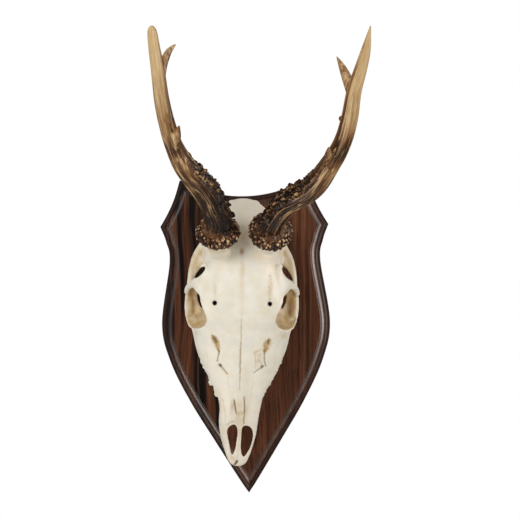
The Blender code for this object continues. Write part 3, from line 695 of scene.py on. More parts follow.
# The nose windows right through the muzzle, as smooth closed outlines of across and down
noseWindows = (
    ((-2.6, 169.0), (-6.6, 170.8), (-8.2, 175.0), (-6.6, 184.5), (-4.4, 192.8), (-1.9, 188.0), (-1.1, 181.8),
     (-0.3, 173.5)),
    ((6.4, 169.7), (10.1, 172.0), (11.3, 177.5), (9.2, 186.8), (4.4, 194.2), (2.2, 189.0), (2.4, 181.0),
     (3.0, 171.6)),
)
seats = {
    "left": ((-17.2, 29.0, 80.0), (-0.05, 0.70, 0.71)),
    "right": ((19.6, 27.0, 79.0), (0.10, 0.52, 0.85)),
}
pedicle = {
    "radius": 9.8 * mm,   # then rings of a height under the seat, in units, and a share of the radius
    "rings": ((-22.0, 0.5), (-14.0, 0.8), (-8.0, 0.94), (-3.5, 1.0), (-0.75, 1.0), (-0.3, 1.0)),
}


def seatFrame(side):
    # The seat's middle, and the way the antler leaves it
    (middle, (across, up, out)) = seats[side]
    return skullPlace(*middle), tilted(unitLength(np.array([across, -out, up])))


def sectionLoft():
    # Row by row: x = half · |cos|^p, and out = waist + (top or base) · |sin|^p, with p = 2 / roundness
    down, half, waist, top, base, roundUp, roundDown = smoothRows(skullSections, 8).T[:, :, None]
    angle = fullTurn(128)[None, :]
    x, y = np.cos(angle), np.sin(angle)
    power = 2 / np.where(y > 0, roundUp, roundDown)
    out = waist + np.sign(y) * np.where(y > 0, top - waist, waist - base) * abs(y) ** power
    return bodyOf(skullPlace(half * np.sign(x) * abs(x) ** power, down, out))


def ball(middle, radii, rows=28, sides=44):
    # A stretched ball in units: latitude and longitude are its two parameters
    latitude = np.linspace(-math.pi / 2, math.pi / 2, rows + 2)[1:-1, None]
    longitude = fullTurn(sides)[None, :]
    across = middle[0] + radii[0] * np.cos(latitude) * np.cos(longitude)
    out = middle[2] + radii[1] * np.cos(latitude) * np.sin(longitude)
    down = middle[1] + radii[2] * np.sin(latitude)
    return bodyOf(skullPlace(across, down, out))


def mirrored(middle, sign):
    return (sign * middle[0], *middle[1:])


def boneTube(points, sign):
    # A round tube whose path and radius both run smoothly through the points
    across, down, out, radius = smoothRows(points, 8).T
    return bodyOf(carryRing(skullPlace(sign * across, down, out), radius * skullUnit, 24))


def socketOpening(crossing, along):
    # The opening reaches further in towards the nose, by 3t² - 2t³ across it and again along it
    return sockets["open"] * smoothstep(0.6, -0.7, crossing / sockets["across"]) \
        * smoothstep(0.25, -0.85, along / sockets["along"])


def socketSpot(sign, outward, crossing, along):
    # From the socket's own directions, in units: out of it, across it towards the shield, and up the skull
    lean = -sign * sockets["lean"]
    c, s = math.cos(lean), math.sin(lean)
    inward = socketOpening(crossing, along)
    across = sign * (sockets["centre"][0] - inward) + outward * sign * c - crossing * s
    back = outward * sign * s + crossing * c
    return skullPlace(across, sockets["centre"][1] - along, sockets["centre"][2] - back)


def socketShare(sign, across, down, out):
    # The way back: how far out of the socket a place is, and its distance from the middle in radii
    lean = -sign * sockets["lean"]
    c, s = math.cos(lean), math.sin(lean)
    back, along = sockets["centre"][2] - out, sockets["centre"][1] - down
    inward = socketOpening(back, along)
    side = sign * (across - sign * (sockets["centre"][0] - inward))
    outward, crossing = side * c + back * sign * s, back * c - side * sign * s
    share = np.sqrt((outward / sockets["depth"]) ** 2 + (crossing / sockets["across"]) ** 2
                    + (along / sockets["along"]) ** 2)
    return outward, share


def webBody(sign):
    # A flat oval carried out from the brow: middle + along · L cos a + square · T sin a
    rows = smoothRows(socketWeb, 8)
    middle, half, thick = rows[:, :3] * (sign, 1, 1), rows[:, 3, None, None], rows[:, 4, None, None]
    way = unitLength(np.gradient(middle, axis=0))
    along = unitLength(np.array([0, 1, 0]) - way * way[:, 1:2])
    square = np.cross(way, along)
    angle = fullTurn(48)[None, :, None]
    spots = middle[:, None] + along[:, None] * half * np.cos(angle) + square[:, None] * thick * np.sin(angle)
    return bodyOf(skullPlace(*np.moveaxis(spots, -1, 0)))


def windowBody(outline):
    # A smooth closed outline carried straight through the muzzle
    count = len(outline)
    line = smoothRows(np.array(outline * 3), 8)[count * 8:count * 16]
    out = np.linspace(34, 0, 12)[:, None]
    return bodyOf(skullPlace(line[None, :, 0], line[None, :, 1], out))


def socketBowl(sign):
    # A cup: the outer skin from its pole to the rim, then the inner skin back to its own pole
    reach = np.linspace(0.03, math.pi / 2, 30)
    wall, depth = sockets["wall"], sockets["depth"]
    outward = np.concatenate([-(depth + wall) * np.cos(reach), -depth * np.cos(reach[::-1]) + 0.3])[:, None]
    grow = np.concatenate([np.full(30, wall), np.zeros(30)])[:, None]
    swing = np.concatenate([np.sin(reach), np.sin(reach[::-1])])[:, None]
    angle = fullTurn(72)[None, :]
    return bodyOf(socketSpot(sign, outward, (sockets["across"] + grow) * swing * np.cos(angle),
                             (sockets["along"] + grow) * swing * np.sin(angle)))


def socketRim(sign):
    # A ring round the opening, whose own section is a circle that swells on the cheek side
    angle = fullTurn(96)[:, None]
    turned = fullTurn(16)[None, :]
    thick = sockets["rim"] + sockets["rimSwell"] * np.maximum(0, np.cos(angle)) ** 2
    grow = 0.6 * sockets["wall"] + thick * np.cos(turned)
    return bodyOf(socketSpot(sign, thick * np.sin(turned), (sockets["across"] + grow) * np.cos(angle),
                             (sockets["along"] + grow) * np.sin(angle)), looped=True)


def socketVoid(sign):
    latitude = np.linspace(-math.pi / 2, math.pi / 2, 42)[1:-1, None]
    longitude = fullTurn(60)[None, :]
    return bodyOf(socketSpot(
        sign, sockets["shift"] + sockets["depth"] * np.cos(latitude) * np.cos(longitude),
        sockets["across"] * np.cos(latitude) * np.sin(longitude), sockets["along"] * np.sin(latitude)))


def toothBody(sign, tooth):
    # A squared oval with two lobes on each long side, drawn in at the crown
    down, across, halfLength, halfWidth = tooth
    across -= (sign > 0) * 2.2 * smoothstep(120, 142, down)   # the right row runs further in
    angle = fullTurn(48)[None, :]
    out, share = smoothRows(toothRings, 6).T[:, :, None]
    x, y = (np.sign(v) * abs(v) ** 0.7 for v in (np.cos(angle), np.sin(angle)))
    lobe = 0.96 - 0.20 * bell(y, 0.25)
    x, y = halfWidth * share * x * lobe, halfLength * share * y
    return bodyOf(skullPlace(sign * across + x, down + y, out))


def openingBody(across, down, halfWidth, halfLength, lean, outer, inner):
    # An oval, wider towards its upper end, that opens out as it is carried in
    angle = fullTurn(48)[None, :]
    out = np.linspace(outer, inner, 12)[:, None]
    flare = 1 + 0.008 * (outer - out)
    y = -halfLength * np.cos(angle) * flare
    x = halfWidth * np.sin(angle) * (1 + 0.3 * np.cos(angle)) * flare
    c, s = math.cos(lean), math.sin(lean)
    return bodyOf(skullPlace(across + x * c - y * s, down + x * s + y * c, out))


def blendJoints(made):
    # The joints and bulbs round the neck run into one another, and the pedicles into the forehead
    places, _ = readPoints(made)
    across, down, out = skullUnits(places)
    inside = (out < 24) & (down < 46) & (out > 0.6)
    for side in seats:
        seat, way = seatFrame(side)
        under = (places - seat) @ way < -3.5 * mm
        inside |= (distanceTo(places, seat) < skull["blendReach"]) & under & (down < 48) & (abs(across) > 9)
    eased = made.vertex_groups.new(name="eased")
    eased.add(np.flatnonzero(inside).tolist(), 1.0, "REPLACE")
    blend = made.modifiers.new("blend", "SMOOTH")
    blend.factor = 0.5
    blend.iterations = skull["blendSteps"]
    blend.vertex_group = "eased"
    settle(made)
    made.vertex_groups.clear()


def makeSkull():
    made = makeObject("skull_bone", [sectionLoft()])
    hollows = [ball(mirrored(templeHollow[0], sign), templeHollow[1]) for sign in (-1, 1)]
    hollows += [socketVoid(sign) for sign in (-1, 1)]
    hollows += [ball(*hollow) for hollow in middleHollows]
    down, half, depth, middle = smoothRows(nosePassage, 4).T[:, :, None]
    angle = fullTurn(40)[None, :]
    hollows.append(bodyOf(skullPlace(half * np.cos(angle), down, middle + depth * np.sin(angle))))
    cutter = makeObject("hollows", hollows)
    melt(cutter, skull["hollowVoxel"], 1)
    cutAway(made, cutter)
    print("skull hollowed:", len(made.data.polygons))

    bodies = []
    for sign in (-1, 1):
        bodies += [socketBowl(sign), socketRim(sign), webBody(sign)]
        bodies += [boneTube(points, sign) for points in boneTubes.values()]
        bodies += [ball(mirrored(middle, sign), radii) for middle, radii in boneMasses.values()]
        bodies += [toothBody(sign, tooth) for tooth in teeth]
    for side in seats:
        seat, way = seatFrame(side)
        heights, shares = smoothRows(pedicle["rings"], 5).T
        bodies.append(bodyOf(carryRing(
            seat + way * heights[:, None] * skullUnit, pedicle["radius"] * shares, 48, way)))
    parts = makeObject("bones", bodies)
    joined = parts.data
    size = len(made.data.vertices)
    both = bpy.data.meshes.new("both")
    both.from_pydata([v.co[:] for v in made.data.vertices] + [v.co[:] for v in joined.vertices], [],
                     [p.vertices[:] for p in made.data.polygons]
                     + [[corner + size for corner in p.vertices] for p in joined.polygons])
    made.data = both
    bpy.data.objects.remove(parts, do_unlink=True)
    melt(made, skull["voxel"], 5)
    blendJoints(made)
    print("skull melted:", len(made.data.polygons))

    cutAway(made, makeObject("openings", [openingBody(*opening) for opening in openings.values()]
                             + [windowBody(outline) for outline in noseWindows]))
    melt(made, skull["voxel"], 2)
    carveSkull(made)
    thinTo(made, skull["triangles"])
    stainAndShadeSkull(made)
    made.data.shade_smooth()
    print("skull finished:", len(made.data.polygons))
    return made


# Seams, gaps and slits: a line of across, down and half width, then depth in mm, tan, brown, raggedness
boneMarks = {
    "nose seam": (
        ((0.3, 89, 0.3), (0.1, 104, 0.35), (-0.2, 119, 0.45), (-0.4, 131, 0.35), (-0.4, 142, 0.25)),
        0.22, 0.50, 0.12, 0.3),
    "nose seam dark": (((0.0, 106, 0.25), (-0.2, 119, 0.4), (-0.4, 130, 0.25)), 0.15, 0.2, 0.42, 0.3),
    "nose ridge": (((1.9, 92, 0.9), (1.8, 119, 1.0), (1.6, 146, 0.8)), -0.16, 0.0, 0.0, 0.2),
    "brow seam": (
        ((-0.4, 24, 0.5), (0.1, 32, 0.5), (-0.1, 40, 0.6), (0.5, 53, 0.5), (0.3, 68, 0.4), (0.2, 88, 0.4)),
        0.06, 0.15, 0.0, 0.8),
    "dome seam": (((-17, 23, 0.5), (-9, 20, 0.4), (-0.5, 21.5, 0.4), (9, 19.5, 0.4), (18, 22, 0.5)),
                  0.12, 0.15, 0.10, 0.8),
    "nose root left": (((-17, 103, 0.4), (-11, 100, 0.4), (-5, 93, 0.4), (0, 89, 0.4)),
                       0.06, 0.06, 0.03, 0.8),
    "nose root right": (((17, 103, 0.4), (11, 100, 0.4), (5, 93, 0.4), (0, 89, 0.4)),
                       0.06, 0.06, 0.03, 0.8),
    "jaw seam left": (((-9.6, 130, 0.4), (-8.9, 138, 0.4), (-7.6, 148, 0.4), (-5.0, 156, 0.4)),
                      0.10, 0.10, 0.04, 0.5),
    "jaw seam right": (((9.6, 130, 0.4), (8.9, 138, 0.4), (7.9, 148, 0.4), (6.0, 158, 0.4)),
                       0.10, 0.10, 0.04, 0.5),
    "cheek seam left": (((-33, 98, 0.4), (-28, 106, 0.4), (-25, 116, 0.4), (-24, 126, 0.4)),
                        0.08, 0.05, 0.03, 0.6),
    "cheek seam right": (((33, 98, 0.4), (28, 106, 0.4), (25.5, 116, 0.4), (24.5, 126, 0.4)),
                         0.08, 0.05, 0.03, 0.6),
    "tear gap left": (((-21.0, 101.8, 0.3), (-18.9, 104.8, 1.5), (-17.2, 109.0, 1.1), (-16.0, 114, 0.4)),
                      1.4, 1.0, 0.06, 0.5),
    "tear corner left": (((-20.2, 103.0, 0.5), (-18.2, 106.4, 0.9)), 0.9, 0.4, 0.55, 0.2),
    "tear line left": (((-16.0, 114, 0.45), (-16.6, 117.5, 0.4), (-17.2, 120.8, 0.35)), 0.5, 0.4, 0.50, 0.2),
    "tear pit left": (((-15.4, 123.6, 0.8), (-14.6, 124.4, 0.8)), 1.0, 0.7, 0.70, 0.1),
    "tear slit left": (((-14.4, 124.8, 0.6), (-12.0, 127.6, 0.5), (-9.6, 130.4, 0.3)), 0.6, 0.6, 0.30, 0.1),
    "tear gap right": (((21.0, 103.6, 0.4), (19.4, 106.8, 1.7), (18.1, 110.8, 1.2), (17.3, 113.8, 0.5)),
                       1.3, 1.0, 0.05, 0.6),
    "tear corner right": (((20.6, 104.8, 0.7), (20.2, 107.4, 0.7)), 0.9, 0.4, 0.75, 0.2),
    "tear line right": (((17.4, 113.8, 0.45), (17.5, 120.2, 0.45), (18.7, 124.2, 0.4)), 0.5, 0.3, 0.50, 0.2),
    "plate edge right": (((15.0, 112.0, 0.4), (10.6, 114.6, 0.6), (11.0, 120.0, 0.35), (10.9, 125.6, 0.3)),
                         0.45, 0.25, 0.10, 0.4),
    "plate crack right": (((14.4, 114.6, 0.35), (13.4, 119.0, 0.35), (15.6, 124.0, 0.35)),
                          0.40, 0.30, 0.08, 0.5),
    "plate fold right": (((11.4, 117.0, 0.5), (14.0, 116.4, 0.5), (12.4, 121.6, 0.5), (14.8, 121.0, 0.5)),
                         0.30, 0.15, 0.04, 0.5),
    "tear pit right": (((16.1, 124.2, 0.8), (15.6, 124.9, 0.8)), 1.0, 0.6, 0.75, 0.1),
    "tear slit right": (((15.2, 125.2, 0.5), (12.2, 127.4, 0.4), (9.3, 129.6, 0.3)), 0.5, 0.35, 0.40, 0.2),
    "nose slit left": (((-4.6, 149.8, 0.3), (-3.9, 153, 0.5), (-3.0, 157, 0.5), (-2.3, 160.4, 0.3)),
                       1.1, 0.6, 0.50, 0.1),
    "nose slit right": (((2.8, 147.6, 0.35), (3.4, 153, 0.55), (3.9, 160, 0.6), (4.3, 168.4, 0.4)),
                        1.0, 0.5, 0.34, 0.1),
    "nose tips": (
        ((-2.2, 159.6, 0.6), (-0.9, 161.2, 0.8), (0.8, 159.6, 0.8), (2.6, 160.8, 0.8), (3.8, 159.4, 0.5)),
        0.45, 0.5, 0.0, 0.2),
    "nose bar": (((-0.2, 163.6, 2.0), (1.2, 168, 2.3), (1.4, 178, 2.4)), 0.7, 0.28, 0.0, 0.2),
    "lip notch": (((-1.9, 200.0, 0.7), (-0.5, 197.6, 0.9)), 2.0, 0.3, 0.80, 0.1),
    "lip seam": (((-0.5, 197.6, 0.3), (0.2, 190, 0.3), (1.0, 180, 0.3)), 0.25, 0.2, 0.12, 0.2),
    "window brow": (((-8.2, 169.8, 0.7), (-5.4, 167.2, 0.7), (-2.6, 166.8, 0.6)), 0.3, 0.36, 0.0, 0.2),
    "muzzle seam": (((-13.4, 150, 0.3), (-11.8, 156, 0.35), (-10.2, 163, 0.35), (-9.4, 170, 0.3)),
                    0.15, 0.28, 0.04, 0.3),
}


def lineShare(x, y, rows):
    # Distance to a smooth line over its own half width there, the least of all its straight steps
    points = smoothRows(rows, 5)
    least = np.full(len(x), 1e3)
    for (ax, ay, aw), (bx, by, bw) in zip(points[:-1], points[1:]):
        length = (bx - ax) ** 2 + (by - ay) ** 2
        t = np.clip(((x - ax) * (bx - ax) + (y - ay) * (by - ay)) / length, 0, 1)
        away = np.hypot(x - ax - t * (bx - ax), y - ay - t * (by - ay))
        least = np.minimum(least, away / np.maximum(aw + t * (bw - aw), 0.2))
    return least


def markedBone(places, across, down, facing):
    # Depth, tan and brown of all marks: full near the line, and gone by 1.6, 2.3 and 1.5 half widths
    depth, tan, brown = (np.zeros(len(places)) for _ in range(3))
    for seed, (rows, deep, tanned, browned, ragged) in enumerate(boneMarks.values()):
        x = across + ragged * cloudNoise(places, 1.6 * mm, 40 + seed, 2)
        y = down + ragged * cloudNoise(places, 1.9 * mm, 90 + seed)
        share = lineShare(x, y, rows)
        depth += deep * smoothstep(1.6, 0.5, share) * facing
        tan = np.maximum(tan, tanned * smoothstep(2.3, 0.8, share) * facing)
        brown = np.maximum(brown, browned * smoothstep(1.5, 0.6, share) * facing)
    return depth, tan, brown


# How high or deep the bone's small forms are, in mm, then the sizes of its pebbles and noises
boneForms = {
    "swell": 0.15, "grain": 0.05, "pit": 0.42, "groove": 0.18, "seatPit": 0.30, "temple": 0.35,
    "browHollow": 0.9, "knob": 0.9, "pitSize": 1.7 * mm, "knobSize": 3.0 * mm, "swellSize": 9 * mm,
    "grainSize": 2.2 * mm, "templeLine": ((9, 6, 1), (17, 12, 1), (23, 22, 1), (24.5, 31, 0.6)),
}


def bonePits(places):
    # Small round pits where a pebble's middle is near, under a bit over half of the pebbles
    near, tone = pebbles(places, boneForms["pitSize"], 21)
    return smoothstep(0.55, 0.2, near) * (tone > 0.45)


def carveSkull(made):
    # Moves each point along its outward direction by the sum of the bone's small forms
    places, normals = readPoints(made)
    across, down, out = skullUnits(places)
    facing = smoothstep(0.15, 0.6, -normals[:, 1])
    move = boneForms["swell"] * cloudNoise(places, boneForms["swellSize"], 1, 2) \
        + boneForms["grain"] * cloudNoise(places, boneForms["grainSize"], 5, 2)
    move -= markedBone(places, across, down, facing)[0]
    # Pits beside the brow hole and round the seats
    pits = bonePits(places)
    move -= (boneForms["pit"] * pits + boneForms["groove"]) * browGroove(places, across, down) * facing
    for side in seats:
        away = distanceTo(places, seatFrame(side)[0])
        move -= boneForms["seatPit"] * pits * bell(away - 15 * mm, 5 * mm)
    # Temple lines, a hollow in front of each brow, and knobs over the roots of the cheek teeth
    temple = lineShare(abs(across), down, boneForms["templeLine"])
    move += boneForms["temple"] * bell(temple, 1.2) * facing
    move -= boneForms["browHollow"] * bell(abs(across) - 12.5, 6) * bell(down - 96, 10) * facing
    near, tone = pebbles(places, boneForms["knobSize"], 33)
    roots = smoothstep(114, 120, down) * smoothstep(149, 143, down) * smoothstep(36, 30, out)
    sideways = smoothstep(0.2, 0.7, abs(normals[:, 0]))
    move += boneForms["knob"] * smoothstep(0.7, 0.1, near) * tone * roots * sideways
    places = places + normals * move[:, None] * mm
    # Nothing passes the seats or the shield's face
    for side in seats:
        seat, way = seatFrame(side)
        height = (places - seat) @ way + skull["gap"]
        close = distanceTo(places, seat) < 1.6 * pedicle["radius"]
        places = places - np.outer(np.where(close, np.maximum(height, 0), 0), way)
    places[:, 1] = np.minimum(places[:, 1], headPlace[1])
    writePoints(made, places)


def browGroove(places, across, down):
    # The pitted groove above the right brow hole, a bell across its wandering line
    return bell(across - 20 - 0.5 * cloudNoise(places, 4 * mm, 9), 1.3) * smoothstep(52, 57, down) \
        * smoothstep(77, 74, down)


# Stains, and painted shade between the burrs: across, down, radius across, radius down, strength
stainAndShadeSpots = (
    # The spot at across 0, down 27 is painted shade between the burrs, with a warm tint
    (-0.2, 40, 1.6, 3.0, 1.0), (0.3, 52, 1.9, 20, 0.36), (0.0, 27, 5.5, 8.0, 0.55), (2.0, 34, 3.0, 3.0, 0.35),
    (-14, 44, 16, 5.0, 0.22), (14, 44, 16, 5.0, 0.22), (13.0, 119, 3.0, 5.0, 0.25),
    (-0.5, 156, 3.4, 7.0, 0.35), (-5.6, 155, 1.4, 7.0, 0.55), (5.4, 158, 1.2, 9.0, 0.3),
    (-4.5, 195, 3.4, 3.0, 0.5), (-11.0, 178, 2.2, 13, 0.40), (0.5, 176, 12, 22, 0.10),
    (20.5, 66, 1.8, 9.0, 0.48), (-19.3, 68, 1.4, 7.0, 0.32),
    (-31, 41, 5, 5, 0.75), (31, 41, 5, 5, 0.75), (-33, 100, 2.0, 2.0, 0.3), (32, 101, 3.0, 3.0, 0.4),
)
# Strengths of the tan in whole regions, and of the painted shade
tanStrengths = {"socket": 0.82, "socketTop": 0.18, "shelf": 0.64, "seat": 0.5, "underside": 0.35}
paintedShadeStrengths = {"neck": 0.62, "right side": 0.30, "nose": 0.25, "muzzle": 0.18, "dome": 0.45}


def stainAndShadeSkull(made):
    # Tan in the hollows and along the gaps, with painted shade between the burrs; painted grey shade over the
    # brain case, the right side and the muzzle; dark in the seams, and painted shade inside the openings
    places, normals = readPoints(made)
    across, down, out = skullUnits(places)
    facing = smoothstep(0.0, 0.5, -normals[:, 1])
    _, stainAndShade, brown = markedBone(places, across, down, facing)
    for x, y, wide, high, strength in stainAndShadeSpots:
        stainAndShade = np.maximum(stainAndShade, strength * bell(across - x, wide) * bell(down - y, high) * facing)
    for sign in (-1, 1):
        outward, share = socketShare(sign, across, down, out)
        inside = smoothstep(1.09, 1.01, share) * smoothstep(1.6, -1.0, outward)
        strength = tanStrengths["socket"] + tanStrengths["socketTop"] * smoothstep(74, 66, down)
        stainAndShade = np.maximum(stainAndShade, inside * strength)
        shelf = bell(sign * across - 35, 6) * bell(down - 50, 13) * bell(out - 36, 12)
        stainAndShade = np.maximum(stainAndShade, tanStrengths["shelf"] * shelf)
    for side in seats:
        away = distanceTo(places, seatFrame(side)[0])
        stainAndShade = np.maximum(stainAndShade, tanStrengths["seat"] * smoothstep(15 * mm, 11 * mm, away))
    stainAndShade = np.maximum(stainAndShade, tanStrengths["underside"] * smoothstep(0.1, 0.7, normals[:, 1]))
    stainAndShade = stainAndShade * (0.88 + 0.24 * cloudNoise(places, 3 * mm, 15, 2))
    paint(made, "stainAndShade", np.clip(stainAndShade, 0, 1))
    brown = np.maximum(brown, 0.75 * bonePits(places) * browGroove(places, across, down) * facing)
    # Painted shade: brown inside each opening, on its walls turned from the front and deep inside
    for x, y, halfWidth, halfLength, lean, outer, _ in openings.values():
        c, s = math.cos(lean), math.sin(lean)
        u = ((across - x) * c + (down - y) * s) / (halfWidth + 0.4)
        v = ((down - y) * c - (across - x) * s) / (halfLength + 0.4)
        deep = np.maximum(smoothstep(0.75, 0.4, -normals[:, 1]), out < outer - 7)
        brown = np.maximum(brown, smoothstep(1.2, 0.9, np.hypot(u, v)) * deep * (out < outer))
    paint(made, "crackAndShade", np.clip(brown, 0, 1))
    # Painted shade in grey: at the crown and over the brain case, towards the right side, beside the nose and
    # down the muzzle
    paintedShade = paintedShadeStrengths["neck"] * smoothstep(27, 14, down) * facing
    paintedShade += paintedShadeStrengths["right side"] * smoothstep(4, 30, across)
    paintedShade += paintedShadeStrengths["nose"] * bell(across - 5, 3.0) * smoothstep(118, 130, down)
    paintedShade += paintedShadeStrengths["muzzle"] * smoothstep(120, 165, down)
    paintedShade = np.maximum(paintedShade, paintedShadeStrengths["dome"] * bell(across - 1, 6) * bell(down - 27, 8))
    paint(made, "paintedShade", np.clip(paintedShade, 0, 1))


boneLook = {
    "ivory": (0.86, 0.78, 0.61), "pale": (0.91, 0.86, 0.74), "cool": (0.78, 0.76, 0.68),
    "tan": (0.41, 0.240, 0.080), "honey": (0.62, 0.42, 0.130), "brown": (0.065, 0.032, 0.014),
    "paintedShade": (0.57, 0.47, 0.345), "roughness": (0.48, 0.62),
    "mottle": 130, "tans": 140, "patches": 62, "grain": 520, "pores": 1700,   # noise scales per metre
    "glow": 0.08, "glowDepth": (0.003, 0.002, 0.001),
}


def boneMaterial():
    # Ivory with soft mottling, painted grey shade, tan where the stain is strong and as painted shade between
    # the burrs, brown in the cracks and as painted shade in the openings, and fine pores
    material, shader, place = newMaterial("bleached_bone")
    mottle = noiseOf(place, boneLook["mottle"], 4, 0.6)
    pores = noiseOf(place, boneLook["pores"], 3, 0.65)
    colour = mixOf(rangeOf(mottle, 0.35, 0.65), boneLook["ivory"], boneLook["pale"])
    patches = noiseOf(stretched(place, (1, 1, 1), (4, 0, 2)), boneLook["patches"], 2, 0.5)
    colour = mixOf(rangeOf(patches, 0.50, 0.66, 0.0, 0.55), colour, boneLook["cool"])
    # Painted shade in grey
    colour = mixOf(times(painted(shader, "paintedShade"), 0.75), colour, boneLook["paintedShade"])
    tans = noiseOf(place, boneLook["tans"], 3, 0.6)
    tan = mixOf(rangeOf(tans, 0.3, 0.7), boneLook["tan"], boneLook["honey"])
    # Tan where the stain is strong, and painted shade between the burrs
    colour = mixOf(rangeOf(painted(shader, "stainAndShade"), 0.0, 0.95), colour, tan)
    # Brown for the cracks and seams, and painted shade inside the openings
    crackAndShade = painted(shader, "crackAndShade")
    colour = mixOf(times(crackAndShade, 0.95), colour, boneLook["brown"])
    colour = mixOf(rangeOf(pores, 0.27, 0.35, 0.35, 0.0), colour, boneLook["tan"])
    under = bumpOf(noiseOf(place, boneLook["grain"], 3, 0.6), 0.10 * mm, 0.5)
    dress(shader, {
        "Base Color": colour, "Roughness": rangeOf(mottle, 0.3, 0.7, *boneLook["roughness"]),
        "Normal": bumpOf(pores, 0.05 * mm, 0.6, under), "Subsurface Radius": boneLook["glowDepth"],
        "Subsurface Weight": rangeOf(crackAndShade, 0.0, 0.4, boneLook["glow"], 0.0), "Subsurface Scale": 1.0})
    return material


# Antlers: places counted like the skull's, in two hundredths of their reach, with a radius each
antlers = {
    "reach": 203 * mm, "burrRadius": 16 * mm, "burrThickness": 8.5 * mm,
    "burrRings": ((0.0, 0.84), (0.15, 0.95), (0.42, 1.0), (0.72, 0.96), (0.92, 0.84), (1.0, 0.72)),
    "lead": {"left": (1.45, 10.0), "right": (1.45, 8.6)}, "voxel": 0.40 * mm, "triangles": 192000,
    "burrPearl": 2.05 * mm, "pearl": 2.7 * mm, "bead": 1.5 * mm, "ridges": 9,
    "left": {
        "beam": ((-17.8, 14, 98, 9.6), (-25.8, -2.7, 119, 9.0), (-39.4, -18, 138, 7.5),
                 (-46.8, -31, 151, 6.3), (-51.2, -44, 162, 5.8), (-54.8, -60, 173, 5.3),
                 (-57.2, -79, 185, 4.7), (-59.7, -95, 193.5, 3.9), (-60.9, -104.5, 198, 3.2),
                 (-61.2, -108, 199.6, 1.4)),
        "tines": (((-47.5, -29, 150, 4.8), (-46.4, -34.0, 159, 4.0), (-44.7, -38.8, 167, 2.8),
                   (-43.0, -43.8, 174, 0.6)),
                  ((-56.9, -70, 181, 3.2), (-55.6, -78, 184, 3.7), (-53.8, -85, 184.5, 3.0),
                   (-51.4, -91, 184, 2.4), (-48.6, -95.2, 183, 1.5), (-45.8, -98, 182, 0.5))),
        "patches": ((-48, -33, 154, 10, 0.30), (-51, -48, 168, 12, 0.16), (-51.5, -88, 184, 6, 0.22)),
    },
    "right": {
        "beam": ((22.8, 15.8, 100, 8.7), (31.4, 5.0, 113, 8.7), (48.4, -4.8, 131, 8.0),
                 (61.4, -22.5, 150, 7.0), (68.3, -36, 162, 6.2), (72.0, -50.5, 172.5, 5.8),
                 (74.3, -68.5, 183.5, 5.0), (77.8, -81.5, 191, 4.3), (81.0, -94.5, 198, 3.2),
                 (83.6, -110, 206, 0.5)),
        "tines": (((59.0, -19, 147, 4.4), (59.4, -22.6, 156, 4.2), (58.7, -26.4, 164.5, 2.9),
                   (58.3, -31.0, 172, 0.6)),
                  ((74.0, -60, 178, 3.6), (72.4, -69, 180.5, 3.6), (69.6, -77, 181, 3.4),
                   (66.3, -84.5, 180.2, 2.3), (62.4, -92.0, 179, 0.5)),
                  ((70.5, -50, 168, 3.2), (67.2, -51.0, 166.5, 2.3), (65.6, -51.8, 165.5, 1.0))),
        "patches": ((68, -36, 160, 11, 0.60), (67, -50, 162, 7, 0.5), (66, -84, 180, 8, 0.25)),
    },
}
antlerUnit = antlers["reach"] / 200


def antlerPath(side, points, steps):
    # Each place is an offset from the seat, in antler units; gives the path in metres and its radii
    seat = np.array(seats[side][0])
    across, down, out, radius = np.asarray(points, float).T
    shift = np.stack([across - seat[0], seat[2] - out, seat[1] - down], axis=1) * antlerUnit
    rows = np.column_stack([seatFrame(side)[0] + tilted(shift), radius * antlerUnit])
    rows = smoothRows(rows, steps) if steps else rows
    return rows[:, :3], np.maximum(rows[:, 3], 0.3 * antlerUnit)


def beamPath(side):
    # The burr's rings, the lead into the beam, then the beam itself
    seat, way = seatFrame(side)
    heights, shares = smoothRows(antlers["burrRings"], 5).T
    foot = seat + way * heights[:, None] * antlers["burrThickness"]
    points, radii = antlerPath(side, antlers[side]["beam"], 0)
    height, radius = antlers["lead"][side]
    lead = seat + way * height * antlers["burrThickness"]
    rest = smoothRows(np.vstack([
        [*lead, radius * antlerUnit], np.column_stack([points, radii])]), 12)
    path = np.vstack([foot, rest[:, :3]])
    return path, np.concatenate([shares * antlers["burrRadius"], rest[:, 3]]), way


def straightened(places, path, way):
    # For each point, its two offsets square to the path at the nearest station, and how far along it lies
    tangent, side, across = frames(path, way)
    run = lengthsAlong(path)
    nearest = np.empty(len(places), int)
    for start in range(0, len(places), 8192):   # a block of points at a time, to save memory
        block = places[start:start + 8192]
        away = (path ** 2).sum(1) - 2 * block @ path.T
        nearest[start:start + 8192] = away.argmin(1)
    offset = places - path[nearest]
    u, v, w = ((offset * axes[nearest]).sum(1) for axes in (side, across, tangent))
    return np.stack([u, v, run[nearest] + w], axis=1), run[-1]


# How far each form stands out, in mm, and how much it shows in the relief that the material reads
hornForms = {
    "out": {"dome": 1.55, "burr": 0.75, "pearl": 2.4, "bead": 0.8, "pearled": 1.0, "crest": 0.9,
            "lines": 0.28, "fine": 0.16, "broad": 0.40, "beam": 0.15, "low": 0.5},
    "shown": {"dome": 1.5, "burr": 0.55, "pearl": 0.9, "bead": 0.5, "pearled": 0.45, "crest": 0.75,
              "lines": 0.30, "fine": 0.22, "beam": 0.15, "low": 0.25},
    "lineSize": 2.3 * mm, "fineSize": 1.2 * mm, "broadSize": 6.0 * mm,
}


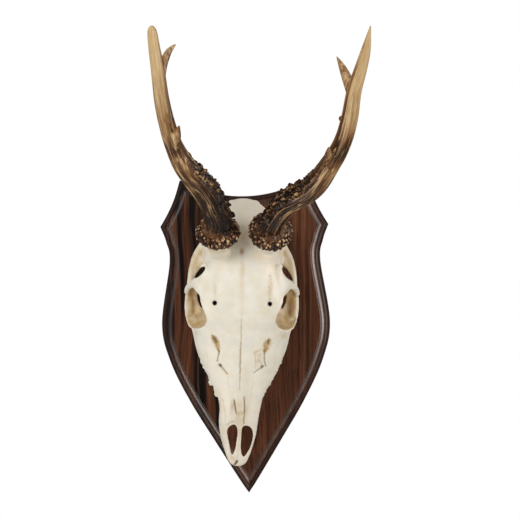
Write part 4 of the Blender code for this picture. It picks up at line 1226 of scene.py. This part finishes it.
def antlerForms(places, normals, side, path, way):
    # Gives how far each point moves out, and the numbers that the material reads
    flow, total = straightened(places, path, way)
    run = flow[:, 2] / mm
    total = total / mm
    radial = np.hypot(flow[:, 0], flow[:, 1]) / mm
    sign, seed = (-1, 100) if side == "left" else (1, 200)
    inner = normals @ unitLength(np.array([-sign * 0.75, 0.15, 0.65])) + 0.22 * smoothstep(50, 15, run)
    inner = smoothstep(-0.15, 0.5, inner)
    burr = smoothstep(10.5, 13.2, radial) * smoothstep(15, 11, run) * smoothstep(0.2, 1.4, run)
    low = smoothstep(80, 20, run)
    wobble = 0.5 * mm * cloudNoise(places, 2.5 * mm, seed, 2)[:, None]
    # Burr: crowded pearls, drawn out along the rim's thickness
    near, tone = pebbles((flow + wobble) * (1, 1, 0.62), antlers["burrPearl"], seed + 1)
    dome = caps(near, 0.68) * (0.45 + 0.8 * tone)
    # Beam: pearls on the inner side, big and small
    near, tone = pebbles(flow * (1, 1, 0.8) + wobble, antlers["pearl"], seed + 11)
    pearl = caps(near, 0.66) * np.clip(1.7 * tone - 0.25, 0.1, 1.4)
    near, tone = pebbles(flow * (1, 1, 0.7) + wobble, antlers["bead"], seed + 15)
    bead = caps(near, 0.7) * (0.3 + 0.9 * tone)
    pearls = inner * smoothstep(100, 62, run) * smoothstep(1, 6, run) * (1 - burr)
    # Elsewhere long ridges, (half + half the cosine of a wandering angle)^4, and furrows by folded noise
    angle = np.arctan2(flow[:, 1], flow[:, 0])
    wander = 1.5 * cloudNoise(flow * (0, 0, 1) + (0, 0.5, 0), 26 * mm, seed + 20) \
        + 1.6 * cloudNoise(flow * (1, 1, 0.22), 7 * mm, seed + 22)
    crest = (0.5 + 0.5 * np.cos(antlers["ridges"] * angle + wander)) ** 4 \
        * smoothstep(-0.5, 0.25, cloudNoise(flow * (1, 1, 0.35), 12 * mm, seed + 23))
    lines = 1 - 2 * abs(cloudNoise(flow * (1, 1, 0.09), hornForms["lineSize"], seed + 21))
    fine = 1 - 2 * abs(cloudNoise(flow * (1, 1, 0.12), hornForms["fineSize"], seed + 25))
    broad = cloudNoise(flow * (1, 1, 0.14), hornForms["broadSize"], seed + 31)
    beam = (1 - burr) * (1 - 0.75 * pearls)
    strength = (0.22 + 0.78 * smoothstep(125, 45, run)) * smoothstep(4, 10, run)
    high, shown = hornForms["out"], hornForms["shown"]
    move = burr * (high["dome"] * dome - high["burr"]) \
        + pearls * (high["pearl"] * pearl + high["bead"] * bead - high["pearled"])
    move += beam * strength * (high["crest"] * crest + high["lines"] * lines + high["fine"] * fine
                               + high["broad"] * broad - high["beam"])
    move += beam * low * high["low"] * (bead - 0.4) * smoothstep(3, 8, run) * smoothstep(60, 20, run)
    move *= 0.05 + 0.95 * smoothstep(0, 14, total - run)
    relief = burr * (shown["dome"] * dome - shown["burr"]) \
        + pearls * (shown["pearl"] * pearl + shown["bead"] * bead - shown["pearled"])
    relief += beam * (shown["crest"] * crest + shown["lines"] * lines + shown["fine"] * fine - shown["beam"]
                      + shown["low"] * low * (bead - 0.4))
    patch = np.zeros(len(places))
    for *middle, reach, strong in antlers[side]["patches"]:
        away = distanceTo(places, skullPlace(*middle))
        patch = np.maximum(patch, strong * bell(away, reach * antlerUnit))
    foot = (1 - burr) * (1 - pearls) * smoothstep(17, 7, run) * smoothstep(0.5, 3, run)
    return move, {
        "foot": foot, "flow": flow, "run": np.clip(run / total, 0, 1), "inner": inner, "burr": burr,
        "relief": np.clip(0.5 + 0.5 * relief, 0, 1), "patch": patch, "pearled": pearls}


def makeAntler(side):
    path, radii, way = beamPath(side)
    bodies = [bodyOf(carryRing(path, radii, 64, way))]
    for points in antlers[side]["tines"]:
        tine, tineRadii = antlerPath(side, points, 10)
        bodies.append(bodyOf(carryRing(tine, tineRadii, 32)))
    made = makeObject("horn_" + side, bodies)
    melt(made, antlers["voxel"], 6)
    places, normals = readPoints(made)
    move, _ = antlerForms(places, normals, side, path, way)
    places = places + normals * move[:, None] * mm
    # The foot stays flat on its seat
    seat = seatFrame(side)[0]
    height = (places - seat) @ way
    places -= np.outer(np.minimum(height, 0), way)
    writePoints(made, places)
    thinTo(made, antlers["triangles"])
    places, normals = readPoints(made)
    _, marks = antlerForms(places, normals, side, path, way)
    for name, values in marks.items():
        paint(made, name, values)
    made.data.shade_smooth()
    print("antler", side, "finished:", len(made.data.polygons))
    return made


# Scales are per metre round, across and along the beam
hornLook = {
    "black": (0.0090, 0.0034, 0.0013), "dark": (0.032, 0.0120, 0.0036), "brown": (0.130, 0.046, 0.0125),
    "rust": (0.190, 0.070, 0.018), "bead": (0.235, 0.090, 0.026), "tan": (0.33, 0.175, 0.062),
    "amber": (0.31, 0.140, 0.040), "cream": (0.63, 0.43, 0.21), "tip": (0.74, 0.54, 0.29),
    "bone": (0.80, 0.57, 0.33), "pale": (0.44, 0.245, 0.105), "roughness": (0.50, 0.32), "shine": 0.18,
    "streaks": (1000, 1000, 45), "blotch": (150, 150, 35), "rubbed": (560, 560, 15),
    "paleLines": (300, 300, 11), "fine": (2600, 2600, 260), "streakDepth": 0.25 * mm, "fineDepth": 0.08 * mm,
}


def hornMaterial():
    # Dark near the burr, tan and cream towards the tips, with fine pale lines along the furrows
    material, shader, _ = newMaterial("antler_horn")
    flow = painted(shader, "flow", "Vector")
    run, relief, burr, pearled, inner, patch, foot = (
        painted(shader, name) for name in ("run", "relief", "burr", "pearled", "inner", "patch", "foot"))
    streaks = noiseOf(stretched(flow, hornLook["streaks"]), 1.0, 4, 0.6)
    blotch = noiseOf(stretched(flow, hornLook["blotch"]), 1.0, 3, 0.6)
    where = plus(plus(run, rangeOf(blotch, 0.3, 0.7, -0.13, 0.13)), rangeOf(streaks, 0.3, 0.7, -0.12, 0.12))
    where = plus(minus(minus(where, times(inner, 0.30)), patch), times(burr, 0.04))
    where = minus(where, times(pearled, 0.10))
    valley = rampOf(where, [(place, hornLook[name]) for place, name in (
        (0.06, "black"), (0.26, "dark"), (0.42, "brown"), (0.58, "tan"), (0.82, "cream"))])
    raised = rampOf(where, [(place, hornLook[name]) for place, name in (
        (0.00, "brown"), (0.18, "amber"), (0.42, "cream"), (0.80, "tip"))])
    height = plus(relief, rangeOf(streaks, 0.3, 0.7, -0.16, 0.16))
    colour = mixOf(rangeOf(height, 0.60, 0.90), valley, raised)
    # Amber where rubbed, brown painted shade on the inner side of the upper beam, rust round the foot, pale
    # tops on burr and pearls
    rubbed = noiseOf(stretched(flow, hornLook["rubbed"], (5, 2, 0)), 1.0, 3, 0.6)
    rubbed = times(rangeOf(rubbed, 0.49, 0.60, 0.0, 0.60), rangeOf(run, 0.36, 0.58))
    # Painted shade: brown on the inner side, from part way up the beam
    shaded = times(times(inner, rangeOf(run, 0.55, 0.95, 0.55, 0.0)), rangeOf(run, 0.36, 0.50))
    for share, name in (
            (times(rubbed, rangeOf(run, 0.78, 0.95, 1.0, 0.35)), "amber"), (shaded, "brown"),
            (times(foot, rangeOf(blotch, 0.3, 0.6, 0.4, 1.0)), "rust"),
            (times(rangeOf(height, 0.52, 0.80, 0.0, 0.65), burr), "bead"),
            (times(rangeOf(height, 0.74, 1.0, 0.0, 0.85), burr), "bone"),
            (times(rangeOf(height, 0.88, 1.15, 0.0, 0.40), pearled), "tan")):
        colour = mixOf(share, colour, hornLook[name])
    # Pale lines lie where a stretched noise passes its middle value, and fade among the pearls
    middle = noiseOf(stretched(flow, hornLook["paleLines"], (7, 3, 1)), 1.0, 1, 0.5)
    away = mathOf("ABSOLUTE", minus(middle, 0.5))
    line = times(rangeOf(mathOf("MAXIMUM", burr, pearled), 0.1, 0.7, 0.85, 0.12),
                 rangeOf(away, 0.004, 0.020, 1.0, 0.0))
    line = times(line, rangeOf(run, 0.08, 0.22, 0.15, 1.0))
    colour = mixOf(line, colour, rampOf(run, ((0.15, hornLook["pale"]), (0.45, hornLook["cream"]))))
    fine = noiseOf(stretched(flow, hornLook["fine"]), 1.0, 3, 0.6)
    dress(shader, {
        "Base Color": colour, "Roughness": rangeOf(height, 0.2, 1.0, *hornLook["roughness"]),
        "Specular IOR Level": hornLook["shine"],
        "Normal": bumpOf(fine, hornLook["fineDepth"], 0.5, bumpOf(streaks, hornLook["streakDepth"], 0.6))})
    return material


# Putting it together
addCamera()
addStudio()
pieces = {"shield_plaque": (makeShield(), woodMaterial(), "dark_wood")}
print("shield finished:", len(pieces["shield_plaque"][0].data.polygons))
pieces["skull"] = (makeSkull(), boneMaterial(), "bleached_bone")
horn = hornMaterial()
for side in ("left", "right"):
    pieces["antler_" + side] = (makeAntler(side), horn, "antler")
for node, (piece, material, slot) in pieces.items():
    piece.data.materials.clear()
    piece.data.materials.append(material)
    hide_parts(node)
    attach(piece, "root")
print("pieces placed")
